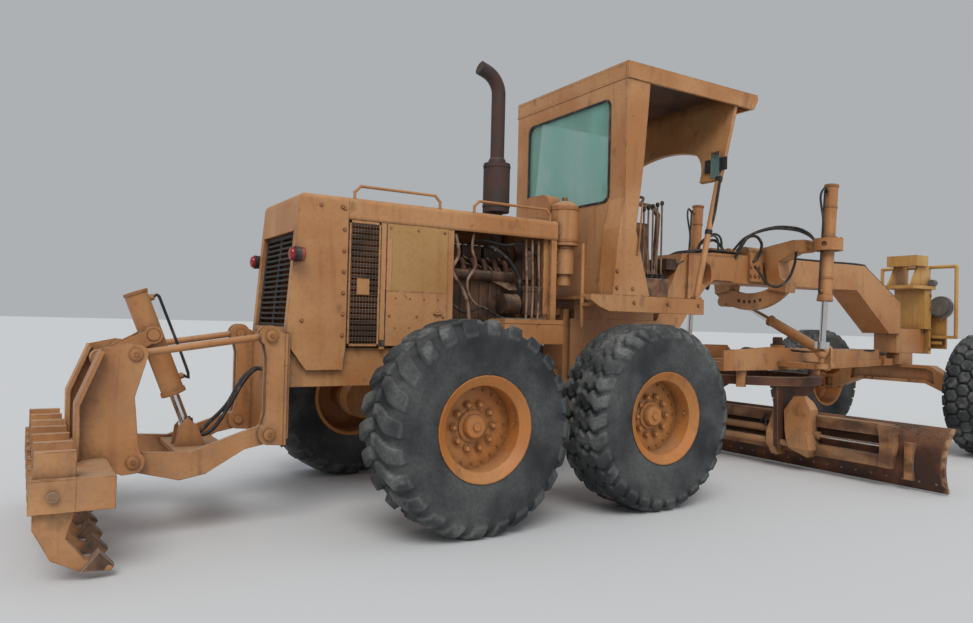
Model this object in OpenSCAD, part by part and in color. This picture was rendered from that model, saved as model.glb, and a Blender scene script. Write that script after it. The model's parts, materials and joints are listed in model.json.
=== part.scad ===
/* [Stance] */
// Middle of the tandem to the front axle
wheelbase = 6450; // [6100:10:6800]
// Between the two wheels of one tandem
tandem_pitch = 1650; // [1560:10:1750]
// Machine's middle to the middle of a rear tyre
rear_track = 1170; // [1160:5:1250]
// Machine's middle to the middle of a front tyre
front_track = 1190; // [1185:5:1260]

/* [Tyres and rims] */
// Tyre radius over the lugs
tyre_r = 730; // [715:1:745]
// Tyre width over the side walls
tyre_w = 500; // [460:5:510]
// Height of the lugs
lug_h = 42; // [25:1:55]
// Lugs on each side of a rear tyre
rear_lugs = 20; // [14:1:24]
// Lugs on each side of a front tyre
front_lugs = 24; // [16:1:28]
// Radius of the bead seat, where the tyre sits on the rim
rim_r = 335; // [320:1:350]
// Thickness of the rim's barrel
rim_wall = 14; // [8:1:20]
// Radius of the wheel spindles
spindle_r = 80; // [60:1:95]
// Bolts on a rim
rim_bolts = 10; // [6:1:14]

/* [Hood and engine] */
// Outside width of the hood
hood_w = 880; // [820:10:920]
// Rear end of the hood's top
hood_rear = -1815; // [-1840:5:-1790]
// Joint between the rear guard's shell and the hood's roof
hood_split = -1449; // [-1480:1:-1440]
// Front end of the hood
hood_front = 460; // [430:5:470]
// Top of the hood
hood_top = 2330; // [2280:5:2400]
// Thickness of the sheet metal
sheet = 12; // [8:1:20]
// Width of the engine block
engine_w = 520; // [440:10:560]
// Radius of the muffler
muffler_r = 115; // [90:1:130]
// Radius of the tail pipe
pipe_r = 60; // [45:1:70]
// Top of the tail pipe
stack_top = 3600; // [3400:10:3660]
// Radius of the air cleaner
cleaner_r = 125; // [110:5:130]

/* [Cab] */
// Outside width of the cab
cab_w = 1640; // [1560:10:1680]
// Plane of the cab's rear wall
cab_rear = 870; // [860:5:920]
// Top of the roof
roof_top = 3705; // [3600:5:3800]
// Length of the roof
roof_len = 1680; // [1600:10:1760]
// Depth of the roof's edge
roof_edge = 145; // [100:5:180]
// Top of the cab floor
floor_top = 1700; // [1680:5:1740]
// Width of the rear window
window_w = 1230; // [1000:10:1240]
// Height of the rear window
window_h = 905; // [700:5:920]
// Height of the rear window's middle
window_z = 2972; // [2960:1:3000]
// Thickness of the cab's rear wall
cab_wall = 40; // [30:5:60]

/* [Frames] */
// Place of the upright articulation pin
hitch_x = 580; // [560:5:590]
// Width of the front frame's beam
beam_w = 360; // [320:10:400]
// Depth of the front frame's beam
beam_h = 310; // [290:10:330]
// Height of the beam's top over the blade
beam_top = 2235; // [2215:5:2260]
// Rise of the beam's top towards the nose
beam_rise = 27; // [0:1:60]
// Width over the rear frame's rails
rear_frame_w = 800; // [760:10:800]
// Front end of the machine, at the guard
nose_x = 7085; // [7040:5:7150]

/* [Push plate] */
// Radius of the tow pin's hole
tow_pin_r = 20; // [12:1:24]
// Half the distance between the push plate's bolts across the machine
push_bolt_y = 280; // [200:5:300]
// Half the distance between the push plate's bolts upwards
push_bolt_z = 160; // [120:5:180]

/* [Blade] */
// Place of the circle's middle
circle_x = 3580; // [3560:5:3620]
// Outside radius of the circle
circle_r = 720; // [660:5:760]
// Underside of the circle
circle_z = 860; // [840:5:880]
// Length of the moldboard
blade_len = 4270; // [3660:10:4270]
// Radius of the moldboard's curve
blade_curve_r = 420; // [400:5:440]
// Length of the rails on the moldboard's back
rail_len = 3300; // [2700:10:3600]
// Thickness of the moldboard
blade_t = 25; // [19:1:30]
// Gap between the cutting edge and the ground
edge_gap = 15; // [10:1:60]
// Place of the drawbar's front ball
ball_x = 6200; // [6150:10:6240]
// Height of the drawbar's front ball
ball_z = 1060; // [1020:10:1080]
// Radius of a lift cylinder's barrel
lift_r = 65; // [55:1:70]
// Radius of a cylinder's chromed rod
rod_r = 32; // [25:1:38]

/* [Ripper] */
// Place of the ripper's pins on the rear bracket
ripper_x = -2000; // [-2040:5:-1980]
// Height of the lower pins
ripper_low_z = 640; // [630:5:680]
// Height between the lower and the upper pins
ripper_pin_gap = 670; // [650:5:700]
// Length of the toolbar
toolbar_len = 2200; // [2000:10:2300]
// Pockets for shanks along the toolbar
pockets = 7; // [5:1:7]
// Height of the ripper tips over the ground
tip_gap = 40; // [20:5:100]

/* [Hidden] */
$fn = 48;
// Running clearance of a pin in its bore
pin_gap = 0.3;
// Running clearance of a slide in its shoe
shoe_gap = 0.5;
// Side clearance between moving pieces
side_gap = 6;
hub_z = tyre_r;
// Rear end of the ripper's pockets
rear_end = -3400;
// Seam between two sheet metal pieces
panel_gap = 0.3;
mid_x = (rear_end + max(nose_x, wheelbase + tyre_r)) / 2;
carcass_r = tyre_r - lug_h;
half_hood = hood_w / 2;
firewall_x = hood_front - 112;
half_cab = cab_w / 2;
half_beam = beam_w / 2;
half_frame = rear_frame_w / 2;
cab_front = cab_rear + roof_len;
roof_under = roof_top - roof_edge;
axle_x = wheelbase;
// Arm vector of the ripper's parallelogram, from a bracket pin to a carriage pin
arm_dx = -840;
arm_dz = -125;
ripper_high_z = ripper_low_z + ripper_pin_gap;
carriage_x = ripper_x + arm_dx;
carriage_low_z = ripper_low_z + arm_dz;
carriage_high_z = ripper_high_z + arm_dz;
// Sides of the ripper's arms, links and plates
arm_y = 425;
arm_t = 50;
ear_t = 30;
ripper_pin_r = 32;
// Lift cylinders: trunnions on the lift arms, balls on the drawbar
lift_x = 3600;
lift_y = 900;
lift_trunnion_z = 2330;
lift_lean = 4;
lift_top_len = 620;
lift_barrel_low = -580;
lift_ball_z = 1200;
ball_r = 50;
// Turn of the trunnions in plan, square to the swing of the drawbar's ends
lift_skew = 18.5;
// Ball of the centre-shift cylinder's yoke and the pin on it
yoke_r = 45;
yoke_pin_r = 26;
// Rear face of the back plate behind the tandem
back_x = -1880;
// Pivot on which the blade tips
tip_x = circle_x - 250;
tip_z = 270;
// Rails on the blade's back: rear edge, underside and depth of each, and their common height
rails = [[circle_x - 170, 180, 90], [circle_x - 130, 465, 122]];
rail_t = 110;
// Side-shift cylinder between the rails: its axis, barrel, rod, and the gap to the rod
side_shift_x = circle_x - 133;
side_shift_z = 378;
side_barrel_r = 40;
side_rod_r = 18;
// Pivot of the front wheels' steering and lean
king_y = front_track - 290;
lean_y = king_y - 125;

// Moves a piece from the tandem's frame to the part's own frame
module placed() translate([-mid_x, 0, 0]) children();

// A copy on each side of the machine
module both_sides() { children(); mirror([0, 1, 0]) children(); }

// A flat outline in X and Z made a plate, centred on y
module side_plate(y, t) translate([0, y + t / 2, 0]) rotate([90, 0, 0]) linear_extrude(t) children();

// A flat outline in Y and Z made a plate, from x forwards
module cross_plate(x, t) translate([x, 0, 0]) rotate([90, 0, 90]) linear_extrude(t) children();

// A round bar along Y, centred on y
module pin_y(x, y, z, r, len) translate([x, y, z]) rotate([90, 0, 0]) cylinder(h = len, r = r, center = true);

// A round bar along X, from x forwards
module pin_x(x, y, z, r, len) translate([x, y, z]) rotate([0, 90, 0]) cylinder(h = len, r = r);

// A block between two corners
module block(low, high) translate(low) cube(high - low);

// A round bar from one point to another
module bar(a, b, r) {
    v = b - a;
    translate(a) rotate([0, acos(v.z / norm(v)), atan2(v.y, v.x)]) cylinder(h = norm(v), r = r);
}

// A rectangle with round corners
module round_rect(w, h, r) {
    square([w - 2 * r, h], center = true);
    square([w, h - 2 * r], center = true);
    for (x = [-1, 1], y = [-1, 1]) translate([x * (w / 2 - r), y * (h / 2 - r)]) circle(r = r);
}

// A flat link outline: two discs and the bar between them
module link_outline(a, b, r, half_h) {
    v = b - a;
    translate(a) circle(r = r);
    translate(b) circle(r = r);
    translate(a) rotate(atan2(v.y, v.x)) translate([0, -half_h]) square([norm(v), 2 * half_h]);
}

// Tyre: a revolved section of arcs with slanted lugs on both shoulders
module tyre(lugs, slant, lug_w) {
    side = tyre_w / 2;
    rotate([90, 0, 0]) {
        rotate_extrude() polygon(concat(
            [[rim_r + pin_gap, -side + 42], [rim_r + 28, -side + 42], [rim_r + 45, -side + 24]],
            [for (a = [-60:20:60]) [525 + 150 * sin(a), -side + 30 - 30 * cos(a)]],
            [[carcass_r, -side + 70], [carcass_r, side - 70]],
            [for (a = [60:-20:-60]) [525 + 150 * sin(a), side - 30 + 30 * cos(a)]],
            [[rim_r + 45, side - 24], [rim_r + 28, side - 42], [rim_r + pin_gap, side - 42]]));
        intersection() {
            cylinder(h = tyre_w - 20, r = tyre_r, center = true, $fn = 96);
            for (i = [0:lugs - 1], s = [-1, 1])
                rotate([0, 0, (i + s / 4) * 360 / lugs + 270])
                    translate([carcass_r - 30, 0, s * side * 0.52])
                        rotate([s * slant, 0, 0])
                            translate([0, -lug_w / 2, -side * 0.5])
                                cube([lug_h + 60, lug_w, side]);
        }
    }
}

// Rim: barrel with a sloping outer lip, a disc deep inside it, hub and bolts, its outer face towards -Y
rim_lip = 72;
rim_disc_z = 42;
rim_disc_t = 24;
module rim() {
    w = tyre_w / 2 - 18;
    flange_r = rim_r + 25;
    rotate([90, 0, 0]) difference() {
        union() {
            rotate_extrude() polygon([
                [flange_r, -w], [flange_r, -w + 14], [rim_r, -w + 18], [rim_r, w - 18],
                [flange_r, w - 14], [flange_r, w], [flange_r - 8, w], [flange_r - rim_lip, w - 45],
                [flange_r - rim_lip, rim_disc_z], [0, rim_disc_z], [0, -140], [120, -140],
                [120, rim_disc_z - rim_disc_t], [flange_r - rim_lip - 8, rim_disc_z - rim_disc_t],
                [rim_r - rim_wall, rim_disc_z - 60], [rim_r - rim_wall, -w + 24], [rim_r - 6, -w]]);
            for (i = [0:rim_bolts - 1]) rotate([0, 0, i * 360 / rim_bolts])
                translate([155, 0, rim_disc_z - 2]) cylinder(h = 24, r = 17, $fn = 6);
            translate([0, 0, rim_disc_z - 2]) cylinder(h = 14, r = 105);
        }
        translate([0, 0, -141]) cylinder(h = 146, r = spindle_r + pin_gap);
    }
}

// Wheel pieces at a hub: side is -1 on the right and 1 on the left
module at_wheel(x, y, side) placed() translate([x, side * y, hub_z]) rotate([0, 0, side > 0 ? 180 : 0]) children();

module rear_tyre(x, side) color("dimgray") at_wheel(x, rear_track, side) tyre(rear_lugs, 32, 78);
module rear_rim(x, side) color("darkorange") at_wheel(x, rear_track, side) rim();
module front_tyre(side) color("dimgray") at_wheel(axle_x, front_track, side) tyre(front_lugs, 18, 86);
module front_rim(side) color("darkorange") at_wheel(axle_x, front_track, side) rim();

// Rear frame: rails, cross plates and the ears that hold the articulation pin
module rear_frame() color("peru") placed() {
    both_sides() {
        block([back_x + 20, half_frame - 120, 950], [300, half_frame, 1230]);
        side_plate(half_frame - 40, 60) polygon([[-150, 1230], [250, 1230], [250, 1290], [-150, 1290]]);
    }
    block([back_x, -half_frame - 60, 600], [back_x + 20, half_frame + 60, 1330]);
    block([-1700, -half_frame + 120, 960], [-1600, half_frame - 120, 1100]);
    block([-100, -half_frame + 120, 960], [0, half_frame - 120, 1180]);
    // Neck and the two ears of the hitch
    difference() {
        union() {
            block([150, -half_frame + 120, 950], [300, half_frame - 120, 1500]);
            for (z = [880, 1440]) {
                block([300, -150, z], [hitch_x, 150, z + 80]);
                translate([hitch_x, 0, z]) cylinder(h = 80, r = 110);
            }
            block([221, -150, 880], [300, 150, 1520]);
        }
        translate([hitch_x, 0, 850]) cylinder(h = 800, r = 50 + pin_gap);
    }
}

// Axle housing, tandem cases and wheel spindles
module tandem_drive() color("peru") placed() {
    pin_y(0, 0, hub_z, 150, 2 * (rear_track - 500));
    both_sides() {
        side_plate(rear_track - 420, 180) {
            link_outline([-tandem_pitch / 2, hub_z], [tandem_pitch / 2, hub_z], 170, 150);
            translate([0, hub_z]) circle(r = 215);
        }
        for (x = [-1, 1]) {
            pin_y(x * tandem_pitch / 2, rear_track - 230, hub_z, spindle_r, 380);
            pin_y(x * tandem_pitch / 2, rear_track - 300, hub_z, 140, 70);
        }
    }
    block([-220, -half_frame + 20, hub_z + 100], [220, half_frame - 20, 949]);
}

// Engine and transmission: the heavy blocks at their real place, with the open side's pipes
module engine() color("saddlebrown") placed() {
    half_engine = engine_w / 2;
    block([-600, -half_engine, 1190], [130, half_engine, 1800]);
    block([-560, -half_engine + 60, 1800], [90, half_engine - 60, 1980]);
    for (i = [0:2]) block([-540 + i * 215, -half_engine + 110, 1980], [-355 + i * 215, half_engine - 110, 2080]);
    both_sides() {
        pin_x(-560, half_engine + 25, 1830, 45, 640);
        for (i = [0:5]) pin_y(-500 + i * 105, half_engine - 25, 1830, 26, 90);
    }
    block([-1480, -240, 1110], [-600, 240, 1700]);
    block([-820, -200, 700], [-640, 200, 1110]);
    // Feet on the rails
    both_sides() for (x = [-1400, -500, 20]) block([x, 235, 1230 + pin_gap], [x + 80, half_frame - 75, 1262]);
    pin_x(-700, 0, 1450, 270, 100);
}

// Height between the hood's top and the lower edge of its side bands
hood_band = 165;
// Hood: roof with rolled edges and the rails on it
module hood() color("peru") placed() {
    rear = hood_split + panel_gap;
    difference() {
        cross_plate(rear, hood_front - rear) translate([0, hood_top - 90]) round_rect(hood_w, 180, 40);
        cross_plate(rear + sheet, hood_front - rear - 2 * sheet)
            translate([0, hood_top - 90 - sheet]) round_rect(hood_w - 2 * sheet, 180, 30);
        block([rear - 1, -half_hood - 1, hood_top - 181], [hood_front + 1, half_hood + 1, hood_top - hood_band]);
        translate([0, -150, hood_top - 100]) cylinder(h = 200, r = muffler_r + 15);
    }
    // Front and rear posts of the engine bay
    both_sides() for (x = [hood_front - 60, -620])
        block([x, half_hood - 60, 1290], [x + 60, half_hood - 12, hood_top - 150]);
    // Wall between the engine and the cab
    block([firewall_x, -half_hood + 62, 1521], [firewall_x + 12, half_hood - 62, hood_top - 170]);
    both_sides() block([firewall_x, half_hood - 62, 1521], [hood_front - 50, half_hood - 50, hood_top - 150]);
    // Rails: rear x, front x
    for (row = [[-1400, -690], [-376, 385]]) both_sides() {
        y = half_hood - 22;
        z = hood_top + 90;
        corner = 45;
        bar([row[0], y, hood_top - 30], [row[0], y, z - corner], 11);
        bar([row[0], y, z - corner], [row[0] + corner, y, z], 11);
        bar([row[0] + corner, y, z], [row[1] - corner, y, z], 11);
        bar([row[1] - corner, y, z], [row[1], y, z - corner], 11);
        bar([row[1], y, z - corner], [row[1], y, hood_top - 30], 11);
        for (x = [row[0], row[1]]) translate([x, y, z - corner]) sphere(r = 12);
        for (x = [row[0] + corner, row[1] - corner]) translate([x, y, z]) sphere(r = 12);
    }
}

// Upright outline of the rear guard, its foot against the back plate
module guard_outline() polygon(concat(
    [[hood_split, 1240], [hood_split - 20, 1070], [back_x + 140, 1070], [back_x + 21, 1231], [back_x + 21, 1331],
        [back_x - 8, 1332], [hood_rear - 15, 2110]],
    [for (a = [180:-30:90]) [hood_rear + 50 + 50 * cos(a), hood_top - 50 + 50 * sin(a)]],
    [[hood_split, hood_top]]));

// Radiator guard: a shell round the radiator with a thick rear wall, open for the grille
grille_low = 1380;
grille_high = 2050;
grille_y = half_hood - 66;
module radiator_guard() color("peru") placed() {
    tall = 1330;
    difference() {
        intersection() {
            side_plate(0, hood_w) guard_outline();
            cross_plate(hood_rear - 200, 600) translate([0, hood_top - tall / 2]) round_rect(hood_w, tall, 40);
        }
        intersection() {
            side_plate(0, hood_w) polygon([[hood_split + 1, 1000], [back_x + 190, 1000], [back_x + 90, 1331],
                [hood_rear + 45, 2110], [hood_rear + 60, hood_top - sheet], [hood_split + 1, hood_top - sheet]]);
            cross_plate(hood_rear - 200, 600) translate([0, hood_top - sheet - tall / 2])
                round_rect(hood_w - 2 * sheet, tall, 30);
        }
        block([back_x - 20, -half_frame - panel_gap, 1000], [hood_split + 1, half_frame + panel_gap, 1230 + panel_gap]);
        block([hood_rear - 120, -grille_y - panel_gap, grille_low - 5],
            [hood_rear + 120, grille_y + panel_gap, grille_high + 5]);
    }
    // Sill, head and core of the radiator
    block([back_x + 60, -half_hood + 6, 1235], [-1510, half_hood - 6, grille_low - 8]);
    block([hood_rear + 30, -half_hood + 6, grille_high + 12], [-1510, half_hood - 6, hood_top - 190]);
    block([-1560, -half_hood + 80, grille_low - 10], [-1520, half_hood - 80, grille_high + 20]);
}

// Grilles: the rear one and the two side screens, as bars in frames
module grilles() color("black") placed() {
    bars = 16;
    pitch = 40;
    translate([hood_rear - 47, 0, grille_low]) rotate([0, 5, 0]) difference() {
        block([0, -grille_y, 0], [30, grille_y, grille_high - grille_low]);
        for (i = [0:bars - 1], s = [-1, 1])
            block([-1, min(s * 10, s * (grille_y - 24)), 20 + i * pitch], [31, max(s * 10, s * (grille_y - 24)), 45 + i * pitch]);
    }
    both_sides() difference() {
        block([hood_split + 4, half_hood - 24, 1242], [-1190, half_hood - 4, hood_top - hood_band - panel_gap]);
        for (i = [0:20]) block([-1426, half_hood - 30, 1262 + i * 42], [-1210, half_hood, 1288 + i * 42]);
    }
}

// Side panels between the screens and the open engine bay
module side_panels() color("goldenrod") placed() both_sides() {
    block([-1140, half_hood - 16, 1440], [-620 - panel_gap, half_hood - 2, hood_top - hood_band - panel_gap]);
    block([-1186, half_hood - 30, 1290], [-1144, half_hood - 6, hood_top - hood_band - panel_gap]);
}

// Tool boxes beside the rear frame's rails, under the open engine bay
module side_boxes() color("peru") placed() both_sides() {
    difference() {
        block([-190, half_frame + panel_gap, 1272], [hood_front - 60 - panel_gap, 620, 1475]);
        block([-191, 617, 1432], [hood_front, 621, 1436]);
    }
    block([-100, half_frame + panel_gap, 1150], [300, half_frame + 24, 1280]);
}

// Exhaust: muffler, pipe and the elbow that points backwards
module exhaust_stack() color("dimgray") placed() translate([0, -150, 0]) {
    bend_r = 190;
    bend = 72;
    translate([0, 0, hood_top + 60]) cylinder(h = 420, r = muffler_r);
    translate([0, 0, 2080 + pin_gap]) cylinder(h = hood_top - 2015, r = 55);
    translate([0, 0, hood_top + 470]) cylinder(h = stack_top - hood_top - 470 - bend_r, r = pipe_r);
    translate([-bend_r, 0, stack_top - bend_r]) rotate([90, 0, 0]) {
        rotate_extrude(angle = bend) translate([bend_r, 0]) circle(r = pipe_r);
        rotate([0, 0, bend]) translate([bend_r, -1, 0]) rotate([-90, 0, 0]) cylinder(h = 70, r = pipe_r);
    }
}

// Air cleaner: a domed canister with its dust cup, and the cowl that joins it to the hood's front end
cleaner_at = [hood_front + 140, -340];
module air_cleaner() color("peru") placed() {
    dome = 2480;
    translate([cleaner_at.x, cleaner_at.y, 2130]) cylinder(h = dome - 2130, r = cleaner_r);
    translate([cleaner_at.x, cleaner_at.y, dome]) intersection() {
        translate([0, 0, -cleaner_r]) sphere(r = cleaner_r * sqrt(2));
        cylinder(h = cleaner_r, r = cleaner_r);
    }
    translate([cleaner_at.x, cleaner_at.y, 1880]) cylinder(h = 260, r = cleaner_r - 35);
    translate([cleaner_at.x, cleaner_at.y, 1780]) cylinder(h = 110, r = cleaner_r - 62);
    for (z = [1960, 2080]) block([firewall_x + 12 + panel_gap, cleaner_at.y - 30, z], [cleaner_at.x, cleaner_at.y + 30, z + 30]);
    cross_plate(hood_front + panel_gap, 130) translate([-95, 2340]) round_rect(410, 500, 110);
}

// Tail lamps on the upper rear corners
module tail_lamps() color("firebrick") placed() both_sides() {
    pin_x(hood_rear - 65, half_hood + 70, 1880, 50, 80);
    block([hood_rear - 25, half_hood + panel_gap, 1860], [hood_rear + 15, half_hood + 70, 1900]);
}

// Ripper bracket: two pairs of ears on the back plate, with their pins
module ripper_bracket() color("peru") placed() {
    block([back_x - 25, -half_frame - 80, 560], [back_x - 0.5, half_frame + 80, 1330]);
    both_sides() {
        for (y = [arm_y - arm_t / 2 - side_gap - ear_t / 2, arm_y + arm_t / 2 + side_gap + ear_t / 2])
            side_plate(y, ear_t) {
                for (z = [ripper_low_z, ripper_high_z]) translate([ripper_x, z]) circle(r = 72);
                polygon([[back_x - 25, 560], [back_x - 25, 1330], [ripper_x - 10, ripper_high_z + 70],
                    [ripper_x - 40, ripper_high_z - 60], [ripper_x - 20, ripper_high_z - 150],
                    [ripper_x - 20, ripper_low_z + 150], [ripper_x - 40, ripper_low_z + 60],
                    [ripper_x - 10, ripper_low_z - 70]]);
            }
        for (z = [ripper_low_z, ripper_high_z]) pin_y(ripper_x, arm_y, z, ripper_pin_r, 150);
    }
}

// Lower arms of the ripper and the plate that joins them
module ripper_arms() color("peru") placed() {
    low = [ripper_x, ripper_low_z];
    rear = [carriage_x, carriage_low_z];
    both_sides() difference() {
        side_plate(arm_y, arm_t) {
            translate(low) circle(r = 68);
            translate(rear) circle(r = 68);
            polygon([low + [0, 66], [-2150, 665], [-2500, 545], rear + [60, 50], rear + [0, -66],
                [-2560, 372], [-2400, 400], [-2150, 545], low + [0, -66]]);
        }
        pin_y(low.x, arm_y, low.y, ripper_pin_r + pin_gap, arm_t + 2);
        pin_y(rear.x, arm_y, rear.y, ripper_pin_r + pin_gap, arm_t + 2);
    }
    block([-2560, -arm_y + arm_t / 2, 500], [-2200, arm_y - arm_t / 2, 530]);
    both_sides() side_plate(70, 24) polygon([[-2530, 525], [-2330, 525], [-2380, 660], [-2445, 730], [-2510, 660]]);
}

// Upper links of the ripper: round rods with eyes
module ripper_links() color("peru") placed() both_sides() difference() {
    union() {
        for (p = [[ripper_x, ripper_high_z], [carriage_x, carriage_high_z]]) pin_y(p[0], arm_y, p[1], 62, arm_t);
        bar([ripper_x, arm_y, ripper_high_z], [carriage_x, arm_y, carriage_high_z], 24);
    }
    for (p = [[ripper_x, ripper_high_z], [carriage_x, carriage_high_z]])
        pin_y(p[0], arm_y, p[1], ripper_pin_r + pin_gap, arm_t + 2);
}

// Carriage: tower plates, their pins, the toolbar and its pockets
module ripper_carriage() color("peru") placed() {
    both_sides() {
        side_plate(arm_y + arm_t / 2 + side_gap + 20, 40) {
            polygon([[-2860, 1260], [-3040, 1220], [-3170, 890], [-3165, 560], [-2900, 440], [-2840, 445],
                [-2775, 515], [-2810, 605], [-2840, 920], [-2780, 1140]]);
            translate([carriage_x, carriage_high_z]) circle(r = 70);
            translate([carriage_x, carriage_low_z]) circle(r = 70);
        }
        side_plate(arm_y + 60, 210)
            polygon([[-3040, 1220], [-3170, 890], [-3165, 560], [-3140, 560], [-3145, 886], [-3020, 1205]]);
        for (z = [carriage_low_z, carriage_high_z]) pin_y(carriage_x, arm_y + 8, z, ripper_pin_r, 100);
    }
    // Cross tube and the two lugs that hold the cylinder
    pin_y(-2990, 0, 1130, 50, 2 * (arm_y + arm_t / 2 + side_gap) + 20);
    both_sides() side_plate(100, 26) difference() {
        link_outline([-2990, 1130], ripper_trunnion, 62, 50);
        translate(ripper_trunnion) circle(r = 40 + pin_gap);
    }
    // Toolbar
    block([-3180, -toolbar_len / 2, 385], [-2990, toolbar_len / 2, 560]);
    for (i = [0:pockets - 1]) {
        y = (i - (pockets - 1) / 2) * (toolbar_len - 160) / (pockets - 1);
        for (s = [-1, 1]) block([rear_end, y + s * 62 - 15, 385], [-3180, y + s * 62 + 15, 560]);
        block([rear_end, y - 62, 385], [rear_end + 22, y + 62, 560]);
    }
}

// Ripper shanks with their tips, in the pockets
module ripper_shanks() color("peru") placed() for (i = [0:pockets - 1]) {
    y = (i - (pockets - 1) / 2) * (toolbar_len - 160) / (pockets - 1);
    side_plate(y, 72) polygon([[rear_end + 22 + pin_gap, 700], [-3180 - pin_gap, 700], [-3180 - pin_gap, 380],
        [-3220, 240], [-3130, 120], [-2985, tip_gap + 20], [-3000, tip_gap], [-3150, tip_gap + 15],
        [-3290, 130], [rear_end + 22 + pin_gap, 300]]);
}

// Ripper cylinder, hung on the carriage by its trunnions
ripper_trunnion = [-2690, 1300];
ripper_eye = [-2445, 660];
ripper_dir = (ripper_eye - ripper_trunnion) / norm(ripper_eye - ripper_trunnion);
ripper_len = norm(ripper_eye - ripper_trunnion);
ripper_tilt = atan2(ripper_dir.y, ripper_dir.x);
module along_ripper() placed() translate([ripper_trunnion.x, 0, ripper_trunnion.y])
    rotate([0, -90 - ripper_tilt, 0]) children();
module ripper_barrel() color("peru") along_ripper() difference() {
    union() {
        translate([0, 0, -440]) cylinder(h = 740, r = 75);
        pin_y(0, 0, 0, 40, 240);
    }
    translate([0, 0, -471]) cylinder(h = 740, r = rod_r + pin_gap);
}
module ripper_rod() color("silver") along_ripper() {
    translate([0, 0, -ripper_len + 40]) cylinder(h = ripper_len - 60, r = rod_r);
    pin_y(0, 0, -ripper_len, 50, 90);
}

// Where the beam's straight top begins and ends
beam_start_x = 2700;
beam_end_x = 5440;
// Height of the beam's top at a place along it
function beam_top_at(x) = beam_top + beam_rise * (x - beam_start_x) / (beam_end_x - beam_start_x);

// Oval of a side hole in the beam
module beam_hole() {
    for (z = [1975, 2030]) translate([2560, z]) circle(r = 88);
    translate([2560 - 88, 1975]) square([176, 55]);
}

// Front frame: the arched beam from the hitch to the front axle
module front_frame() color("peru") placed() {
    difference() {
        side_plate(0, beam_w) polygon([
            [820, 1500], [1900, 1500], [2250, beam_top - 40], [beam_start_x, beam_top], [beam_end_x, beam_top + beam_rise],
            [axle_x - 190, 1830], [axle_x - 190, 1430], [axle_x - 450, 1430], [5280, beam_top + beam_rise - beam_h],
            [2720, beam_top - beam_h], [2600, 1880], [2480, 1790], [2350, 1600], [1950, 1060], [820, 930]]);
        both_sides() side_plate(half_beam, 240) beam_hole();
    }
    block([axle_x - 230, -150, 1180], [6900, 150, 1500]);
    // Ears of the hitch, over and under those of the rear frame, and their pins
    for (row = [[790, 84], [966, 60], [1370, 64], [1526, 60]]) {
        translate([hitch_x, 0, row[0]]) cylinder(h = row[1], r = 105);
        block([hitch_x, -105, row[0]], [hitch_x + 245, 105, row[0] + row[1]]);
    }
    block([hitch_x + 180, -150, 790], [hitch_x + 245, 150, 1586]);
    for (z = [800, 1380]) translate([hitch_x, 0, z]) cylinder(h = 190, r = 50);
    // Cheek plates with an oval hole
    both_sides() side_plate(half_beam + 12, 24) difference() {
        polygon([[2300, 1640], [2420, 1700], [2560, 1850], [beam_start_x, beam_top - beam_h + 20],
            [3000, beam_top - beam_h + 20], [3060, beam_top - 35], [2320, beam_top - 45]]);
        beam_hole();
    }
}

// Cab shell: rear wall with its window opening, and the two rear pillars
module cab_shell() color("peru") placed() {
    post_y = window_w / 2 + 8;
    difference() {
        union() {
            block([cab_rear, -half_cab + 50, floor_top], [cab_rear + cab_wall, half_cab - 50, roof_under]);
            block([cab_rear, -half_cab + 15 + panel_gap, roof_under - 2],
                [cab_rear + cab_wall, half_cab - 15 - panel_gap, roof_top - 25 - panel_gap]);
        }
        cross_plate(cab_rear - 1, cab_wall + 2) translate([0, window_z]) round_rect(window_w, window_h, 70);
    }
    // Wedges at the rear corners, wide at the foot
    both_sides() side_plate((post_y + half_cab) / 2, half_cab - post_y) polygon([
        [cab_rear + 10, 2530], [cab_rear, 2530], [cab_rear - 60, 2270], [cab_rear - 110, floor_top],
        [cab_rear + 10, floor_top]]);
    both_sides() side_plate(half_cab - 25, 50) polygon([
        [cab_rear, roof_under], [cab_rear + 270, roof_under], [cab_rear + 215, 2900], [cab_rear + 135, 2270],
        [cab_rear + 310, floor_top], [cab_rear - 110, floor_top], [cab_rear - 60, 2270], [cab_rear, 2530]]);
}

// Cab front: the slanted header with its arch, and the thin struts under it
module cab_front() color("peru") placed() {
    lean = 15;
    depth = 760;
    foot = [2290 - depth * sin(lean), roof_under - depth * cos(lean)];
    translate([2290, 0, roof_under]) rotate([0, lean, 0]) difference() {
        block([-40, -half_cab + 15 + panel_gap, -depth], [0, half_cab - 15 - panel_gap, 112]);
        // Arch: round shoulders under a slightly crowned top
        cross_plate(-42, 44) intersection() {
            translate([0, -370 - 600]) round_rect(1120, 1200, 340);
            translate([0, -370 - 1300]) circle(r = 1300, $fn = 96);
        }
    }
    both_sides() {
        bar([foot.x - 12, half_cab - 45, foot.y + 40], [1790, half_cab - 30, floor_top + 16], 28);
        block([1750, half_cab - 60, floor_top + panel_gap], [1830, half_cab, floor_top + 22]);
    }
}

// Cab roof: a pan with deep edges, open below
module cab_roof() color("peru") placed() difference() {
    side_plate(0, cab_w + 20) polygon([[cab_rear, roof_under], [cab_front - 55, roof_under],
        [cab_front, roof_top - 45], [cab_front - 12, roof_top], [cab_rear, roof_top]]);
    side_plate(0, cab_w - 30) polygon([[cab_rear - 1, roof_under - 1], [cab_front - 82, roof_under - 1],
        [cab_front - 40, roof_top - 25], [cab_rear - 1, roof_top - 25]]);
}

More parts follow.
